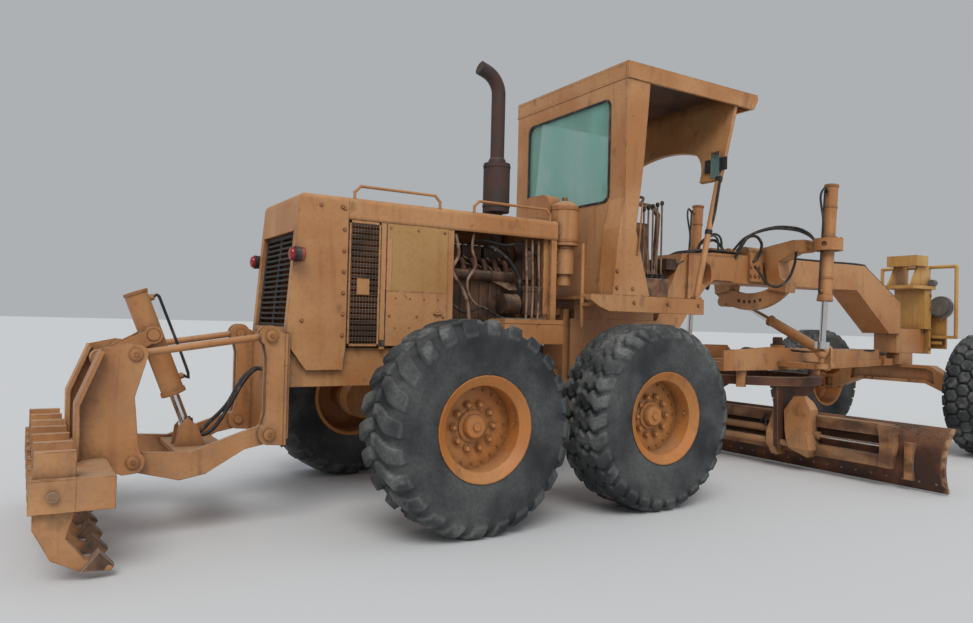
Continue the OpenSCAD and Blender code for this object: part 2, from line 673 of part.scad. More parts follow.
// Cab floor: deck, edge channels and the columns that carry it
module cab_floor() color("peru") placed() {
    block([cab_rear - 120, -half_cab, floor_top - 30], [1860, half_cab, floor_top]);
    both_sides() {
        block([520, half_cab - 120, floor_top - 30], [cab_rear, half_cab, floor_top]);
        side_plate(half_cab - 30, 60) polygon([[520, floor_top - 30], [520, floor_top - 50], [620, floor_top - 105],
            [720, 1560], [1860, 1560], [1860, floor_top - 30]]);
        // Handrail behind the deck
        translate([640, 560, 1420]) cylinder(h = 720, r = 16);
        block([628, 560, 1600], [652, half_cab - 60, 1630]);
        block([628, half_cab - 100, 1600], [760, half_cab - 60, 1630]);
    }
    block([860, -half_beam, 1500], [1860, half_beam, floor_top - 30]);
}

// Rear window glass
module rear_window() color("lightseagreen") placed()
    cross_plate(cab_rear + 14, 12) translate([0, window_z]) round_rect(window_w - 1, window_h - 1, 69);

// Console with the steering wheel and the bank of levers
module controls() color("gray") placed() {
    console_top = 2457;
    side_plate(0, 320) polygon([[1560, 2200], [1590, console_top], [1770, console_top], [1815, 2030],
        [1800, floor_top], [1660, floor_top], [1640, 2030]]);
    // Hoop beside the console
    both_sides() {
        side_plate(165, 36) polygon([[1570, 2658], [1838, 2648], [1923, 2557], [1888, 1992], [1808, 1917],
            [1792, 1943], [1852, 2008], [1887, 2543], [1822, 2612], [1570, 2622]]);
    }
    // Lever boxes and their levers
    both_sides() {
        block([1560, 200, floor_top], [1850, 380, 1900]);
        block([1640, 155, 1760], [1780, 205, 1800]);
        for (i = [0:4]) translate([1660 + i * 28, 226 + i * 32, 1880]) cylinder(h = 680 + i * 14, r = 9);
    }
    // Column and steering wheel
    translate([1755, 0, console_top - 40]) rotate([0, -35, 0]) {
        cylinder(h = 260, r = 24);
        translate([0, 0, 250]) rotate_extrude() translate([200, 0]) circle(r = 14);
        translate([0, 0, 244]) cylinder(h = 14, r = 40);
        for (a = [0:120:240]) rotate([0, 0, a]) translate([0, -12, 245]) cube([200, 24, 10]);
    }
}

// Operator's seat
module operator_seat() color("saddlebrown") placed() {
    block([1000, -180, floor_top], [1240, 180, 1950]);
    block([930, -250, 1950], [1380, 250, 2080]);
    block([920, -240, 2080], [1020, 240, 2560]);
}

// Link between the two cranks under the beam: a sagging plate with a row of lock holes
link_low_r = 691;
link_low_z = 2346;
link_high_r = 683;
link_high_z = 2528;
module link_bar() difference() {
    intersection() {
        translate([0, link_low_z]) circle(r = link_low_r, $fn = 96);
        translate([-475, 1640]) square([950, 310]);
    }
    translate([0, link_high_z]) circle(r = link_high_r, $fn = 96);
    for (a = [-12:6:12]) translate([0, 2437]) rotate(a) translate([0, -687]) circle(r = 20);
}

// Crank of a lift arm, from the saddle out to the ring's journal and down to the link
module crank_outline(z) polygon([
    [60, beam_top + 80], [200, beam_top + 110], [560, z + 70], [700, z + 62], [700, z - 62], [560, z - 66],
    [385, z - 150], [405, 2010], [490, 1950], [475, 1843], [265, 1877], [246, 1989], [half_beam + 12, 2202], [60, 2202]]);

// Lift arms: the saddle over the beam and the rings that hold the lift cylinders
module lift_arms() color("peru") placed() {
    z = lift_trunnion_z;
    saddle_top = beam_top + 45;
    difference() {
        union() {
            block([lift_x - 345, -half_beam - 24, beam_top - 60], [lift_x + 60, half_beam + 24, saddle_top]);
            both_sides() {
                block([lift_x - 345, half_beam, 1960], [lift_x - 130, half_beam + 26, saddle_top - 10]);
                pin_x(lift_x - 330, 115, saddle_top + 5, 60, 390);
                cross_plate(lift_x - 110, 170) crank_outline(z);
                pin_y(lift_x, 730, z, 62, 110);
                translate([lift_x, lift_y, z - 62]) cylinder(h = 124, r = 142);
            }
            cross_plate(lift_x - 90, 60) link_bar();
            pin_x(lift_x - 90, shift_a.y, shift_a.z, 62, shift_yoke_x - lift_x + 90);
        }
        side_plate(0, beam_w + 2 * pin_gap) polygon([
            [lift_x - 400, beam_top_at(lift_x - 400) - beam_h - pin_gap], [lift_x + 200, beam_top_at(lift_x + 200) - beam_h - pin_gap],
            [lift_x + 200, beam_top_at(lift_x + 200) + pin_gap], [lift_x - 400, beam_top_at(lift_x - 400) + pin_gap]]);
        both_sides() {
            translate([lift_x, lift_y, z - 75]) cylinder(h = 150, r = 102);
            translate([lift_x, lift_y, z]) rotate([0, 0, -lift_skew]) pin_x(-150, 0, 0, 25 + pin_gap, 300);
        }
        translate([shift_yoke_x, shift_a.y, shift_a.z]) sphere(r = yoke_r + pin_gap);
    }
}

// Lift cylinder in its own frame: trunnion at the origin, axis along Z
module at_lift(side) placed() translate([lift_x, side * lift_y, lift_trunnion_z]) rotate([0, lift_lean, 0]) children();
module lift_barrel(side) color("peru") at_lift(side) difference() {
    union() {
        translate([0, 0, lift_barrel_low]) cylinder(h = lift_top_len - lift_barrel_low, r = lift_r);
        translate([0, 0, lift_barrel_low]) cylinder(h = 60, r = lift_r + 10);
        rotate([0, -lift_lean, 0]) rotate([0, 0, -side * lift_skew]) pin_x(-120, 0, 0, 25, 240);
    }
    translate([0, 0, lift_barrel_low - 1]) cylinder(h = lift_top_len - lift_barrel_low - 60, r = rod_r + pin_gap);
}
// Distance from the trunnion to the top of the drawbar's ball, along the cylinder
lift_reach = (lift_trunnion_z - lift_ball_z - ball_r - 6) / cos(lift_lean);
module lift_rod(side) color("silver") at_lift(side) {
    translate([0, 0, -lift_reach]) cylinder(h = lift_reach + 100, r = rod_r);
    translate([0, 0, -lift_reach]) cylinder(h = 70, r = 70);
}
lift_foot_x = lift_x - (lift_trunnion_z - lift_ball_z) * tan(lift_lean);

// Front axle: the bolster and the beam out to the lean pivots
module front_axle() color("peru") placed() {
    block([axle_x - 160, -150, 1030], [axle_x + 160, 150, 1179]);
    difference() {
        cross_plate(axle_x - 90, 180) polygon([[-lean_y - 60, hub_z - 90], [-450, hub_z + 75], [450, hub_z + 75],
            [lean_y + 60, hub_z - 90], [lean_y + 60, hub_z + 100], [500, 1031], [-500, 1031], [-lean_y - 60, hub_z + 100]]);
        // Hollows between the flanges
        for (x = [axle_x - 91, axle_x + 45]) cross_plate(x, 46) polygon([[-560, hub_z + 70], [-430, hub_z + 115],
            [430, hub_z + 115], [560, hub_z + 70], [540, 960], [450, 995], [-450, 995], [-540, 960]]);
        both_sides() block([axle_x - 50, lean_y - 80, hub_z - 100], [axle_x + 50, lean_y + 100, hub_z + 150]);
        both_sides() pin_x(axle_x - 100, lean_y, hub_z, 35 + pin_gap, 200);
    }
}

// Lean bracket: hinged on the axle, it carries the king pin
module lean_bracket(side) color("peru") placed() {
    pin_x(axle_x - 90, side * lean_y, hub_z, 35, 180);
    pin_x(axle_x - 44, side * lean_y, hub_z, 58, 88);
    block([axle_x - 44, side > 0 ? lean_y : -king_y + 10, hub_z - 45],
        [axle_x + 44, side > 0 ? king_y - 10 : -lean_y, hub_z + 45]);
    translate([axle_x, side * king_y, hub_z - 100]) cylinder(h = 200, r = 38);
    translate([axle_x, side * king_y, hub_z - 50]) cylinder(h = 100, r = 60);
}
// Knuckle: two ears on the king pin and the front wheel's spindle
module knuckle(side) color("peru") placed() {
    difference() {
        for (z = [hub_z - 95, hub_z + 57]) {
            translate([axle_x, side * king_y, z]) cylinder(h = 38, r = 62);
            block([axle_x - 55, side > 0 ? king_y : -king_y - 90, z],
                [axle_x + 55, side > 0 ? king_y + 90 : -king_y, z + 38]);
        }
        translate([axle_x, side * king_y, hub_z - 101]) cylinder(h = 202, r = 38 + pin_gap);
    }
    block([axle_x - 55, side > 0 ? king_y + 68 : -king_y - 100, hub_z - 95],
        [axle_x + 55, side > 0 ? king_y + 100 : -king_y - 68, hub_z + 95]);
    pin_y(axle_x, side * (king_y + 190), hub_z, spindle_r, 200);
}

// Front guard: push plate, post with its cap, and the tube hoop over the lamps
post_y = 204;
post_top = 2035;
module front_guard() color("gold") placed() {
    block([6900.5, -post_y, 1170], [6960, post_y, post_top]);
    block([6787, -post_y, 1500 + panel_gap], [6902, post_y, post_top]);
    block([6450, -230, post_top - 1], [7020, 230, post_top + 45]);
    both_sides() side_plate(150, 24) polygon([[6520, post_top + 44], [7010, post_top + 44], [7010, 2350], [6700, 2350]]);
    block([6584, -200, 2340], [6870, 200, 2480]);
    difference() {
        union() {
            block([6959, -320, 1300], [nose_x, 320, 1340]);
            block([nose_x - 40, -350, 1240], [nose_x, 350, 1700]);
        }
        translate([7005, 0, 1299]) cylinder(h = 42, r = tow_pin_r);
        for (y = [-1, 1], z = [-1, 1])
            pin_x(nose_x - 41, y * push_bolt_y, 1470 + z * push_bolt_z, 13, 42);
    }
    block([6959, -150, 1590], [nose_x - 39, 150, 1630]);
    both_sides() {
        bar([7000, 500, 1400], [7000, 500, 2340], 24);
        translate([7000, 500, 2340]) sphere(r = 24);
        block([6970, 150, 1380], [7024, 510, 1420]);
    }
    bar([7000, -500, 2340], [7000, 500, 2340], 24);
}

// Front lamps: large ones on the post, small ones on its top plate
module front_lamps() color("silver") placed() both_sides() {
    translate([6960 + panel_gap, 300, 1800]) rotate([0, 90, 0]) {
        cylinder(h = 30, r = 115);
        translate([0, 0, 29]) cylinder(h = 50, r = 145);
    }
    pin_x(6940, 210, post_top + 90 + panel_gap, 45, 75);
}

// Ball joint between the drawbar and the front frame
module drawbar_ball() color("dimgray") placed() {
    translate([ball_x, 0, ball_z]) sphere(r = 62);
    translate([ball_x, 0, ball_z + 40]) cylinder(h = 79, r = 40);
}

// Drawbar: an A-frame of box legs from the ball back to the plate over the circle, with side plates and the drive
module drawbar() color("peru") placed() {
    top = circle_z + 190;
    leg_x = circle_x + 770;
    leg_y = 430;
    difference() {
        union() {
            linear_extrude_at(top - 40, 90) polygon([[ball_x - 130, 60], [ball_x - 130, -60], [leg_x, -leg_y],
                [circle_x - 980, -leg_y], [circle_x - 980, leg_y], [leg_x, leg_y]]);
            linear_extrude_at(top + 49, 120) polygon([[ball_x - 250, 82], [ball_x - 250, -82], [leg_x, -leg_y],
                [leg_x - 90, -leg_y], [leg_x - 90, leg_y], [leg_x, leg_y]]);
        }
        linear_extrude_at(top - 41, 212) polygon([[ball_x - 700, 0], [leg_x - 50, -300], [leg_x - 200, -300],
            [leg_x - 200, 300], [leg_x - 50, 300]]);
        linear_extrude_at(top - 41, 92) translate([circle_x - 50, 0]) circle(r = 260);
        linear_extrude_at(top - 41, 92) translate([circle_x - 650, 0]) round_rect(440, 560, 90);
    }
    both_sides() side_plate(leg_y - 12, 24) polygon([[circle_x - 980, top + 10], [circle_x - 980, top + 165],
        [circle_x - 280, top + 205], [circle_x + 60, top + 200], [circle_x + 120, top + 145], [leg_x, top + 145],
        [leg_x, top + 10]]);
    // Circle drive: gearbox and motor
    block([circle_x + 340, -120, top + 49], [circle_x + 540, 120, top + 120]);
    translate([circle_x + 440, 0, top + 119]) cylinder(h = 100, r = 80);
    both_sides() block([ball_x - 140, 66, ball_z - 45], [ball_x + 45, 96, ball_z + 45]);
    block([ball_x - 150, -96, ball_z - 50], [ball_x - 110, 96, ball_z + 80]);
    // Cross member with the balls for the lift cylinders
    both_sides() {
        block([lift_foot_x - 70, 400, top], [lift_foot_x + 70, 760, top + 50]);
        block([lift_foot_x - 50, 700, top], [lift_foot_x + 50, lift_y - 30, top + 50]);
        translate([lift_foot_x, lift_y, top]) cylinder(h = 50, r = 65);
        translate([lift_foot_x, lift_y, top + 40]) cylinder(h = lift_ball_z - top - 40, r = 28);
        translate([lift_foot_x, lift_y, lift_ball_z]) sphere(r = ball_r);
    }
    // Guides that hold the circle
    for (a = [-30, 30, 150, 210]) translate([circle_x, 0, 0]) rotate([0, 0, a]) {
        block([circle_r - 60, -45, circle_z + 90 + shoe_gap], [circle_r + 40, 45, top - 30]);
        block([circle_r + 7, -45, circle_z - 22], [circle_r + 40, 45, top - 30]);
        block([circle_r - 25, -45, circle_z - 22], [circle_r + 10, 45, circle_z - shoe_gap]);
    }
    // Arm with the ball face for the centre-shift cylinder
    block([shift_x + 76, -760, top], [shift_x + 146, -400, top + 50]);
    cross_plate(shift_x + 76, 40) link_outline([-700, shift_b.z], [-700, top + 25], 60, 60);
}
module linear_extrude_at(z, h) translate([0, 0, z]) linear_extrude(h) children();

// Circle: the toothed ring and the arms that carry the blade
module circle_ring() color("saddlebrown") placed() {
    translate([circle_x, 0, circle_z]) difference() {
        cylinder(h = 90, r = circle_r, $fn = 96);
        translate([0, 0, -1]) cylinder(h = 92, r = circle_r - 110, $fn = 96);
        for (i = [0:59]) rotate([0, 0, i * 6]) translate([circle_r - 118, 0, -1]) cylinder(h = 92, r = 16, $fn = 6);
    }
    both_sides() side_plate(560, 50) difference() {
        union() {
            polygon([[circle_x - 340, circle_z + 20], [circle_x + 330, circle_z + 20], [circle_x + 330, circle_z],
                [circle_x + 250, circle_z - 90], [circle_x - 100, circle_z - 220], [circle_x - 165, circle_z - 245],
                [circle_x - 185, 560], [tip_x + 60, 400], [tip_x + 60, tip_z], [tip_x - 60, tip_z]]);
            translate([tip_x, tip_z]) circle(r = 60);
        }
        translate([tip_x, tip_z]) circle(r = 32 + pin_gap);
    }
}

// Room for the rails in a shoe
module rail_room() for (r = rails)
    translate([r[0] - shoe_gap, r[1] - shoe_gap]) square([200, rail_t + 2 * shoe_gap]);

// Blade carrier: tilting brackets with the shoes for the rails, the outer holders and the side-shift barrel
module blade_carrier() color("peru") placed() {
    front = circle_x - 102;
    difference() {
        union() {
            both_sides() side_plate(482, 86) difference() {
                polygon([[tip_x - 60, 240], [tip_x - 20, 205], [circle_x - 220, 130], [front, 130], [front, 612],
                    [circle_x - 190, 622], [tip_x - 60, 360]]);
                rail_room();
            }
            both_sides() intersection() {
                side_plate(760, 400) difference() {
                    polygon([[tip_x - 50, 240], [tip_x - 20, 205], [circle_x - 220, 150], [front, 150], [front, 700],
                        [circle_x - 160, 770], [circle_x - 205, 770], [tip_x - 50, 330]]);
                    rail_room();
                }
                cross_plate(circle_x - 400, 400) polygon([[690, 755], [811, 766], [899, 635], [897, 391], [937, 236],
                    [863, 150], [700, 230], [640, 420], [600, 602]]);
            }
            pin_y(side_shift_x, 0, side_shift_z, side_barrel_r, 1890);
            pin_y(tip_x, 0, tip_z, 32, 1760);
        }
        translate([0, -60, 0]) pin_y(side_shift_x, 0, side_shift_z, side_rod_r + pin_gap, 1790);
    }
}

// Rod of the side-shift cylinder, held by the blade's right end bracket
module side_shift_rod() color("silver") placed()
    pin_y(side_shift_x, 100 - side_rod_reach / 2, side_shift_z, side_rod_r, side_rod_reach + 200);

// Moldboard: the curved plate, its cutting edge, rails, end brackets and ribs
blade_foot_x = circle_x - 20;
end_bracket_y = rail_len / 2 - 50;
side_rod_reach = end_bracket_y - 8 - panel_gap;
module moldboard() color("saddlebrown") placed() {
    chord = 585;
    tilt = 10;
    half_angle = asin(chord / 2 / blade_curve_r);
    translate([blade_foot_x, 0, edge_gap]) rotate([0, tilt, 0])
        side_plate(0, blade_len) translate([blade_curve_r * cos(half_angle), chord / 2]) intersection() {
            difference() { circle(r = blade_curve_r, $fn = 96); circle(r = blade_curve_r - blade_t, $fn = 96); }
            polygon([[0, 0], [-2 * blade_curve_r * cos(half_angle), 2 * blade_curve_r * sin(half_angle)],
                [-2 * blade_curve_r * cos(half_angle), -2 * blade_curve_r * sin(half_angle)]]);
        }
    // Cutting edge on the front of the foot
    translate([blade_foot_x, 0, edge_gap]) rotate([0, tilt, 0])
        side_plate(0, blade_len - 20) translate([blade_curve_r * cos(half_angle), chord / 2]) intersection() {
            difference() {
                circle(r = blade_curve_r - blade_t + 1, $fn = 96);
                circle(r = blade_curve_r - blade_t - 18, $fn = 96);
            }
            polygon([[0, 0], [-2 * blade_curve_r * cos(20), -2 * blade_curve_r * sin(20)],
                [-2 * blade_curve_r * cos(half_angle), -2 * blade_curve_r * sin(half_angle)]]);
        }
    for (r = rails) block([r[0], -rail_len / 2, r[1]], [r[0] + r[2], rail_len / 2, r[1] + rail_t]);
    // End brackets over the rails, and a rib outside each
    both_sides() {
        cross_plate(circle_x - 188, 62) translate([end_bracket_y, 0]) polygon([[-34, 575], [158, 575], [134, 480],
            [144, 400], [100, 180], [-20, 180], [-5, 330], [-10, 450]]);
        block([circle_x - 105, end_bracket_y + 180, 94], [circle_x - 55, end_bracket_y + 260, 434]);
    }
}

// Centre-shift cylinder: its rod on the saddle, its barrel out to the drawbar
shift_yoke_x = lift_x + 130;
shift_x = shift_yoke_x + 85;
shift_a = [shift_x, half_beam + 210, 1760];
shift_b = [shift_x, -700, 1230];
shift_len = norm(shift_b - shift_a);
shift_tilt = atan2(shift_a.z - shift_b.z, shift_a.y - shift_b.y);
module along_shift() placed() translate(shift_a) rotate([shift_tilt, 0, 0]) rotate([90, 0, 0]) children();
module shift_yoke() color("peru") placed() translate([shift_yoke_x, shift_a.y, shift_a.z]) rotate([0, 90, 0]) {
    sphere(r = yoke_r);
    cylinder(h = 125, r = yoke_pin_r);
}
module shift_rod() color("silver") along_shift() difference() {
    union() {
        translate([0, 0, 40]) cylinder(h = 640, r = rod_r);
        pin_x(-35, 0, 0, 58, 70);
    }
    pin_x(-41, 0, 0, yoke_pin_r + pin_gap, 82);
}
module shift_barrel() color("peru") along_shift() difference() {
    union() {
        translate([0, 0, 480]) cylinder(h = shift_len - 500, r = 55);
        pin_x(-45, 0, shift_len, 60, 90);
    }
    translate([0, 0, 479]) cylinder(h = shift_len - 620, r = rod_r + pin_gap);
}

rear_frame();
tandem_drive();
engine();
hood();
radiator_guard();
grilles();
side_panels();
side_boxes();
exhaust_stack();
air_cleaner();
tail_lamps();
ripper_bracket();
rear_tyre(-tandem_pitch / 2, 1);  // tyre_rear_left
rear_rim(-tandem_pitch / 2, 1);  // rim_rear_left
rear_tyre(-tandem_pitch / 2, -1);  // tyre_rear_right
rear_rim(-tandem_pitch / 2, -1);  // rim_rear_right
rear_tyre(tandem_pitch / 2, 1);  // tyre_mid_left
rear_rim(tandem_pitch / 2, 1);  // rim_mid_left
rear_tyre(tandem_pitch / 2, -1);  // tyre_mid_right
rear_rim(tandem_pitch / 2, -1);  // rim_mid_right
front_tyre(1);  // tyre_front_left
front_rim(1);  // rim_front_left
front_tyre(-1);  // tyre_front_right
front_rim(-1);  // rim_front_right
ripper_arms();
ripper_links();
ripper_carriage();
ripper_shanks();
ripper_barrel();
ripper_rod();
front_frame();
cab_shell();
cab_front();
cab_roof();
cab_floor();
rear_window();
controls();
operator_seat();
lift_arms();
front_axle();
front_guard();
front_lamps();
drawbar_ball();
drawbar();
circle_ring();
blade_carrier();
moldboard();
side_shift_rod();
lift_barrel(1);  // lift_barrel_left
lift_rod(1);  // lift_rod_left
lift_barrel(-1);  // lift_barrel_right
lift_rod(-1);  // lift_rod_right
shift_yoke();
shift_rod();
shift_barrel();
lean_bracket(1);  // lean_left
lean_bracket(-1);  // lean_right
knuckle(1);  // knuckle_left
knuckle(-1);  // knuckle_right
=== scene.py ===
"""Looks of an articulated motor grader: finishes, tyres, lines, fastenings and cab furniture."""
import json
import math

import bpy
import numpy as np
from mathutils import Matrix, Vector


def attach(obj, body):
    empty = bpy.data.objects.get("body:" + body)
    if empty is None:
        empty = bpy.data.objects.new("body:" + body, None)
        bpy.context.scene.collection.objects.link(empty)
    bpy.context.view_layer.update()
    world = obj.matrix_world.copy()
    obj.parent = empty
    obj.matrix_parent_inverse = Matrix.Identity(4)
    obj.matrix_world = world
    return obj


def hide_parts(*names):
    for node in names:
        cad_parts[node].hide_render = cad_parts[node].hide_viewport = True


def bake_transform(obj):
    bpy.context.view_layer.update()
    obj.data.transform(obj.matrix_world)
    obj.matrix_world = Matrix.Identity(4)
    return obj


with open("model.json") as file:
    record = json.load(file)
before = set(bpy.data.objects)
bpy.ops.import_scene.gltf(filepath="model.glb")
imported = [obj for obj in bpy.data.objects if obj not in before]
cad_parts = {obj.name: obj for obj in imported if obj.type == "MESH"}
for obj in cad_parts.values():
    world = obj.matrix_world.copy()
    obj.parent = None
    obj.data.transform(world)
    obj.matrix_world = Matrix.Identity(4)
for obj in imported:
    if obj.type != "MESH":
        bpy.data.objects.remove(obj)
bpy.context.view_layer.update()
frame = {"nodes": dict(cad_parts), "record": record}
NODES = frame["nodes"]
TAU = 2 * math.pi
AHEAD, ASTERN, LEFT, UP = (1, 0, 0), (-1, 0, 0), (0, 1, 0), (0, 0, 1)
BOTH = (-1, 1)
SIDES = (("left", 1), ("right", -1))

# Places below are measured from the middle of the tandem; the frame's origin lies this far ahead of it
ORIGIN_X = 1.89
TYRE_R, TYRE_HALF, RIM_R, HUB_Z = 0.73, 0.25, 0.335, 0.73
WHEELBASE, TANDEM_HALF, REAR_TRACK, FRONT_TRACK = 6.45, 0.825, 1.17, 1.19
WHEELS = (("rear", -TANDEM_HALF, REAR_TRACK), ("mid", TANDEM_HALF, REAR_TRACK),
          ("front", WHEELBASE, FRONT_TRACK))
TREADS = {"rear": "chevron", "mid": "zigzag", "front": "block"}

# The moldboard's arc: its centre and radius in the frame's own X and Z
BLADE_ARC_X, BLADE_ARC_Z, BLADE_ARC_R = 2.0176, 0.2507, 0.42

# Colours, linear
PAINT, PAINT_FADED = (0.44, 0.186, 0.062), (0.53, 0.265, 0.11)
PANEL, PANEL_FADED = (0.41, 0.205, 0.058), (0.46, 0.255, 0.09)
RIM_ORANGE, RIM_FADED = (0.5, 0.165, 0.026), (0.52, 0.215, 0.055)
GUARD_YELLOW, GUARD_FADED = (0.52, 0.262, 0.062), (0.6, 0.35, 0.11)
RUST, RUST_LIGHT = (0.105, 0.035, 0.014), (0.24, 0.085, 0.03)
RUBBER, RUBBER_DUST = (0.015, 0.018, 0.021), (0.17, 0.175, 0.17)
DUST, MUD = (0.42, 0.3, 0.2), (0.17, 0.105, 0.07)
# The second colour is painted shade, laid where ambient occlusion finds hollows and corners
GREASE, CREVICE_SHADE = (0.02, 0.014, 0.011), (0.1, 0.05, 0.025)
SCRAPED, SCOURED = (0.42, 0.38, 0.35), (0.42, 0.24, 0.13)


def placed(points):
    """Points measured from the tandem's middle, moved to the frame's own origin."""
    return np.asarray(points, float) - (ORIGIN_X, 0, 0)


# Shader building
class Shading:
    """One shader tree, built step by step; each step gives back the socket that it ends in."""

    def __init__(self, tree):
        self.tree = tree
        self.object_coords = None

    def feed(self, node, inputs):
        """Sets or links a node's inputs, given by name or index as values or as sockets."""
        for key, value in inputs.items():
            socket = node.inputs[key]
            if isinstance(value, bpy.types.NodeSocket):
                self.tree.links.new(value, socket)
            else:
                socket.default_value = (*value, 1) if socket.type == "RGBA" else value

    def node(self, kind, inputs=None, **settings):
        """A node with its settings and inputs."""
        node = self.tree.nodes.new(kind)
        for key, value in settings.items():
            setattr(node, key, value)
        self.feed(node, inputs or {})
        return node

    def coords(self):
        """Object coordinates, from one node for the whole tree."""
        if self.object_coords is None:
            self.object_coords = self.node("ShaderNodeTexCoord").outputs["Object"]
        return self.object_coords

    def part(self, vector, index):
        """One of a vector's three parts."""
        return self.node("ShaderNodeSeparateXYZ", {0: vector}).outputs[index]

    def upward(self):
        """How far a face looks up."""
        return self.part(self.node("ShaderNodeNewGeometry").outputs["Normal"], 2)

    def group(self, tree, **values):
        """The outputs of a shared group fed with values; what isn't given stays as the group has it."""
        return self.node("ShaderNodeGroup", values, node_tree=tree).outputs

    def mix(self, factor, a, b):
        """One colour laid over another by a factor."""
        return self.node("ShaderNodeMix", {0: factor, 6: a, 7: b}, data_type="RGBA").outputs[2]

    def ramp(self, value, low, high, out_low=0.0, out_high=1.0):
        """A value stretched from low..high to out_low..out_high, smoothly and without overshoot."""
        return self.node("ShaderNodeMapRange", {0: value, 1: low, 2: high, 3: out_low, 4: out_high},
                         interpolation_type="SMOOTHSTEP").outputs[0]

    def math(self, operation, a, b=0.0):
        """One step of arithmetic on values or sockets."""
        return self.node("ShaderNodeMath", {0: a, 1: b}, operation=operation).outputs[0]

    def times(self, a, b):
        """Two values multiplied."""
        return self.math("MULTIPLY", a, b)

    def plus(self, a, b, share=1.0):
        """A value and a share of another, added."""
        return self.math("ADD", a, b if share == 1.0 else self.times(b, share))

    def clamped(self, value):
        """A value kept between nought and one."""
        return self.node("ShaderNodeClamp", {0: value}).outputs[0]

    def vector_math(self, operation, a, b=(0, 0, 0), output=0):
        """One step of vector arithmetic."""
        return self.node("ShaderNodeVectorMath", {0: a, 1: b}, operation=operation).outputs[output]

    def noise(self, scale, detail=4.0, stretch=(1, 1, 1), distortion=0.0):
        """Fractal noise on object coordinates, stretched along the axes."""
        mapping = self.node("ShaderNodeMapping", {"Vector": self.coords(), "Scale": stretch})
        return self.node("ShaderNodeTexNoise",
                         {"Vector": mapping.outputs[0], "Scale": scale, "Detail": detail,
                                                "Distortion": distortion}).outputs[0]

    def edges(self, radius, strength):
        """Strong on corners sharper than the radius rounds, nought on flats."""
        bevel = self.node("ShaderNodeBevel", {"Radius": radius}, samples=4)
        flat = self.node("ShaderNodeNewGeometry")
        along = self.vector_math("DOT_PRODUCT", bevel.outputs[0], flat.outputs["Normal"], "Value")
        return self.times(self.math("SUBTRACT", 1.0, along), strength)

    def bump(self, height, strength, distance, radius):
        """A bump whose ground is the face rounded at its corners."""
        ground = self.node("ShaderNodeBevel", {"Radius": radius}, samples=4)
        return self.node("ShaderNodeBump", {"Height": height, "Strength": strength, "Distance": distance,
                                            "Normal": ground.outputs[0]}).outputs[0]

    def finish(self, shader, color, made, strength, distance, radius):
        """A shader's colour, with the roughness and the relief that a group made."""
        self.feed(shader, {"Base Color": color, "Roughness": made["Roughness"],
                           "Normal": self.bump(made["Height"], strength, distance, radius)})


def new_group(name, **inputs):
    """An empty shader group: its tree, the sockets of its inputs, and the node of its three outputs."""
    group = bpy.data.node_groups.new(name, "ShaderNodeTree")
    for socket, default in inputs.items():
        kind = "Float" if isinstance(default, float) else "Color"
        made = group.interface.new_socket(socket, in_out="INPUT", socket_type="NodeSocket" + kind)
        made.default_value = default if kind == "Float" else (*default, 1)
    for socket, kind in (("Color", "Color"), ("Roughness", "Float"), ("Height", "Float")):
        group.interface.new_socket(socket, in_out="OUTPUT", socket_type="NodeSocket" + kind)
    return Shading(group), group.nodes.new("NodeGroupInput").outputs, group.nodes.new("NodeGroupOutput")


def make_wear_group():
    """Paint that has faded in patches, run, gathered dust on top, chipped at its edges and rusted through;
    painted shade darkens its hollows.
    """
    tree, given, out = new_group("weathered_paint", Paint=PAINT, Faded=PAINT_FADED, Dust=0.5, Chips=0.5,
                                 Streaks=0.35, Grime=0.4)
    patches = tree.ramp(tree.noise(1.6, 6.0), 0.38, 0.64)
    color = tree.mix(patches, given["Paint"], given["Faded"])
    fine = tree.noise(38.0, 5.0)
    color = tree.mix(tree.ramp(fine, 0.45, 0.75, 0.0, 0.22), color, RUST_LIGHT)
    runs = tree.ramp(tree.noise(5.0, 6.0, (3.2, 3.2, 0.28), 0.3), 0.52, 0.74)
    color = tree.mix(tree.times(runs, given["Streaks"]), color, RUST_LIGHT)
    low = tree.ramp(tree.part(tree.coords(), 2), 0.25, 1.5, 1.0, 0.0)
    splash = tree.times(low, tree.ramp(tree.noise(3.0, 7.0), 0.35, 0.65))
    color = tree.mix(tree.times(splash, given["Grime"]), color, MUD)
    blotch = tree.ramp(tree.noise(7.0, 8.0, (1, 1, 0.6)), 0.6, 0.72)
    color = tree.mix(tree.times(blotch, tree.times(given["Grime"], 0.8)), color, GREASE)
    lying = tree.times(tree.ramp(tree.upward(), 0.35, 0.95), tree.ramp(tree.noise(9.0, 5.0), 0.25, 0.6))
    lying = tree.times(lying, given["Dust"])
    color = tree.mix(lying, color, DUST)
    worn = tree.times(tree.edges(0.012, 9.0), tree.ramp(tree.noise(22.0, 6.0), 0.42, 0.62))
    pits = tree.ramp(tree.noise(15.0, 9.0), 0.7, 0.74)
    bare = tree.clamped(tree.times(tree.math("MAXIMUM", worn, pits), given["Chips"]))
    color = tree.mix(bare, color, tree.mix(fine, RUST, RUST_LIGHT))
    # Painted shade: darker colour where ambient occlusion finds hollows and corners, patchy by noise
    corners = tree.node("ShaderNodeAmbientOcclusion", {"Distance": 0.1}, samples=3).outputs["AO"]
    crevice_shade = tree.times(tree.ramp(corners, 0.35, 0.95, 1.0, 0.0), tree.ramp(fine, 0.25, 0.6, 0.5, 1.0))
    color = tree.mix(tree.times(crevice_shade, 0.75), color, CREVICE_SHADE)
    rough = tree.plus(tree.plus(tree.plus(0.46, lying, 0.35), bare, 0.3), patches, 0.08)
    relief = tree.math("SUBTRACT", tree.times(fine, 0.25), bare)
    tree.feed(out, {"Color": color, "Roughness": rough, "Height": relief})
    return tree.tree


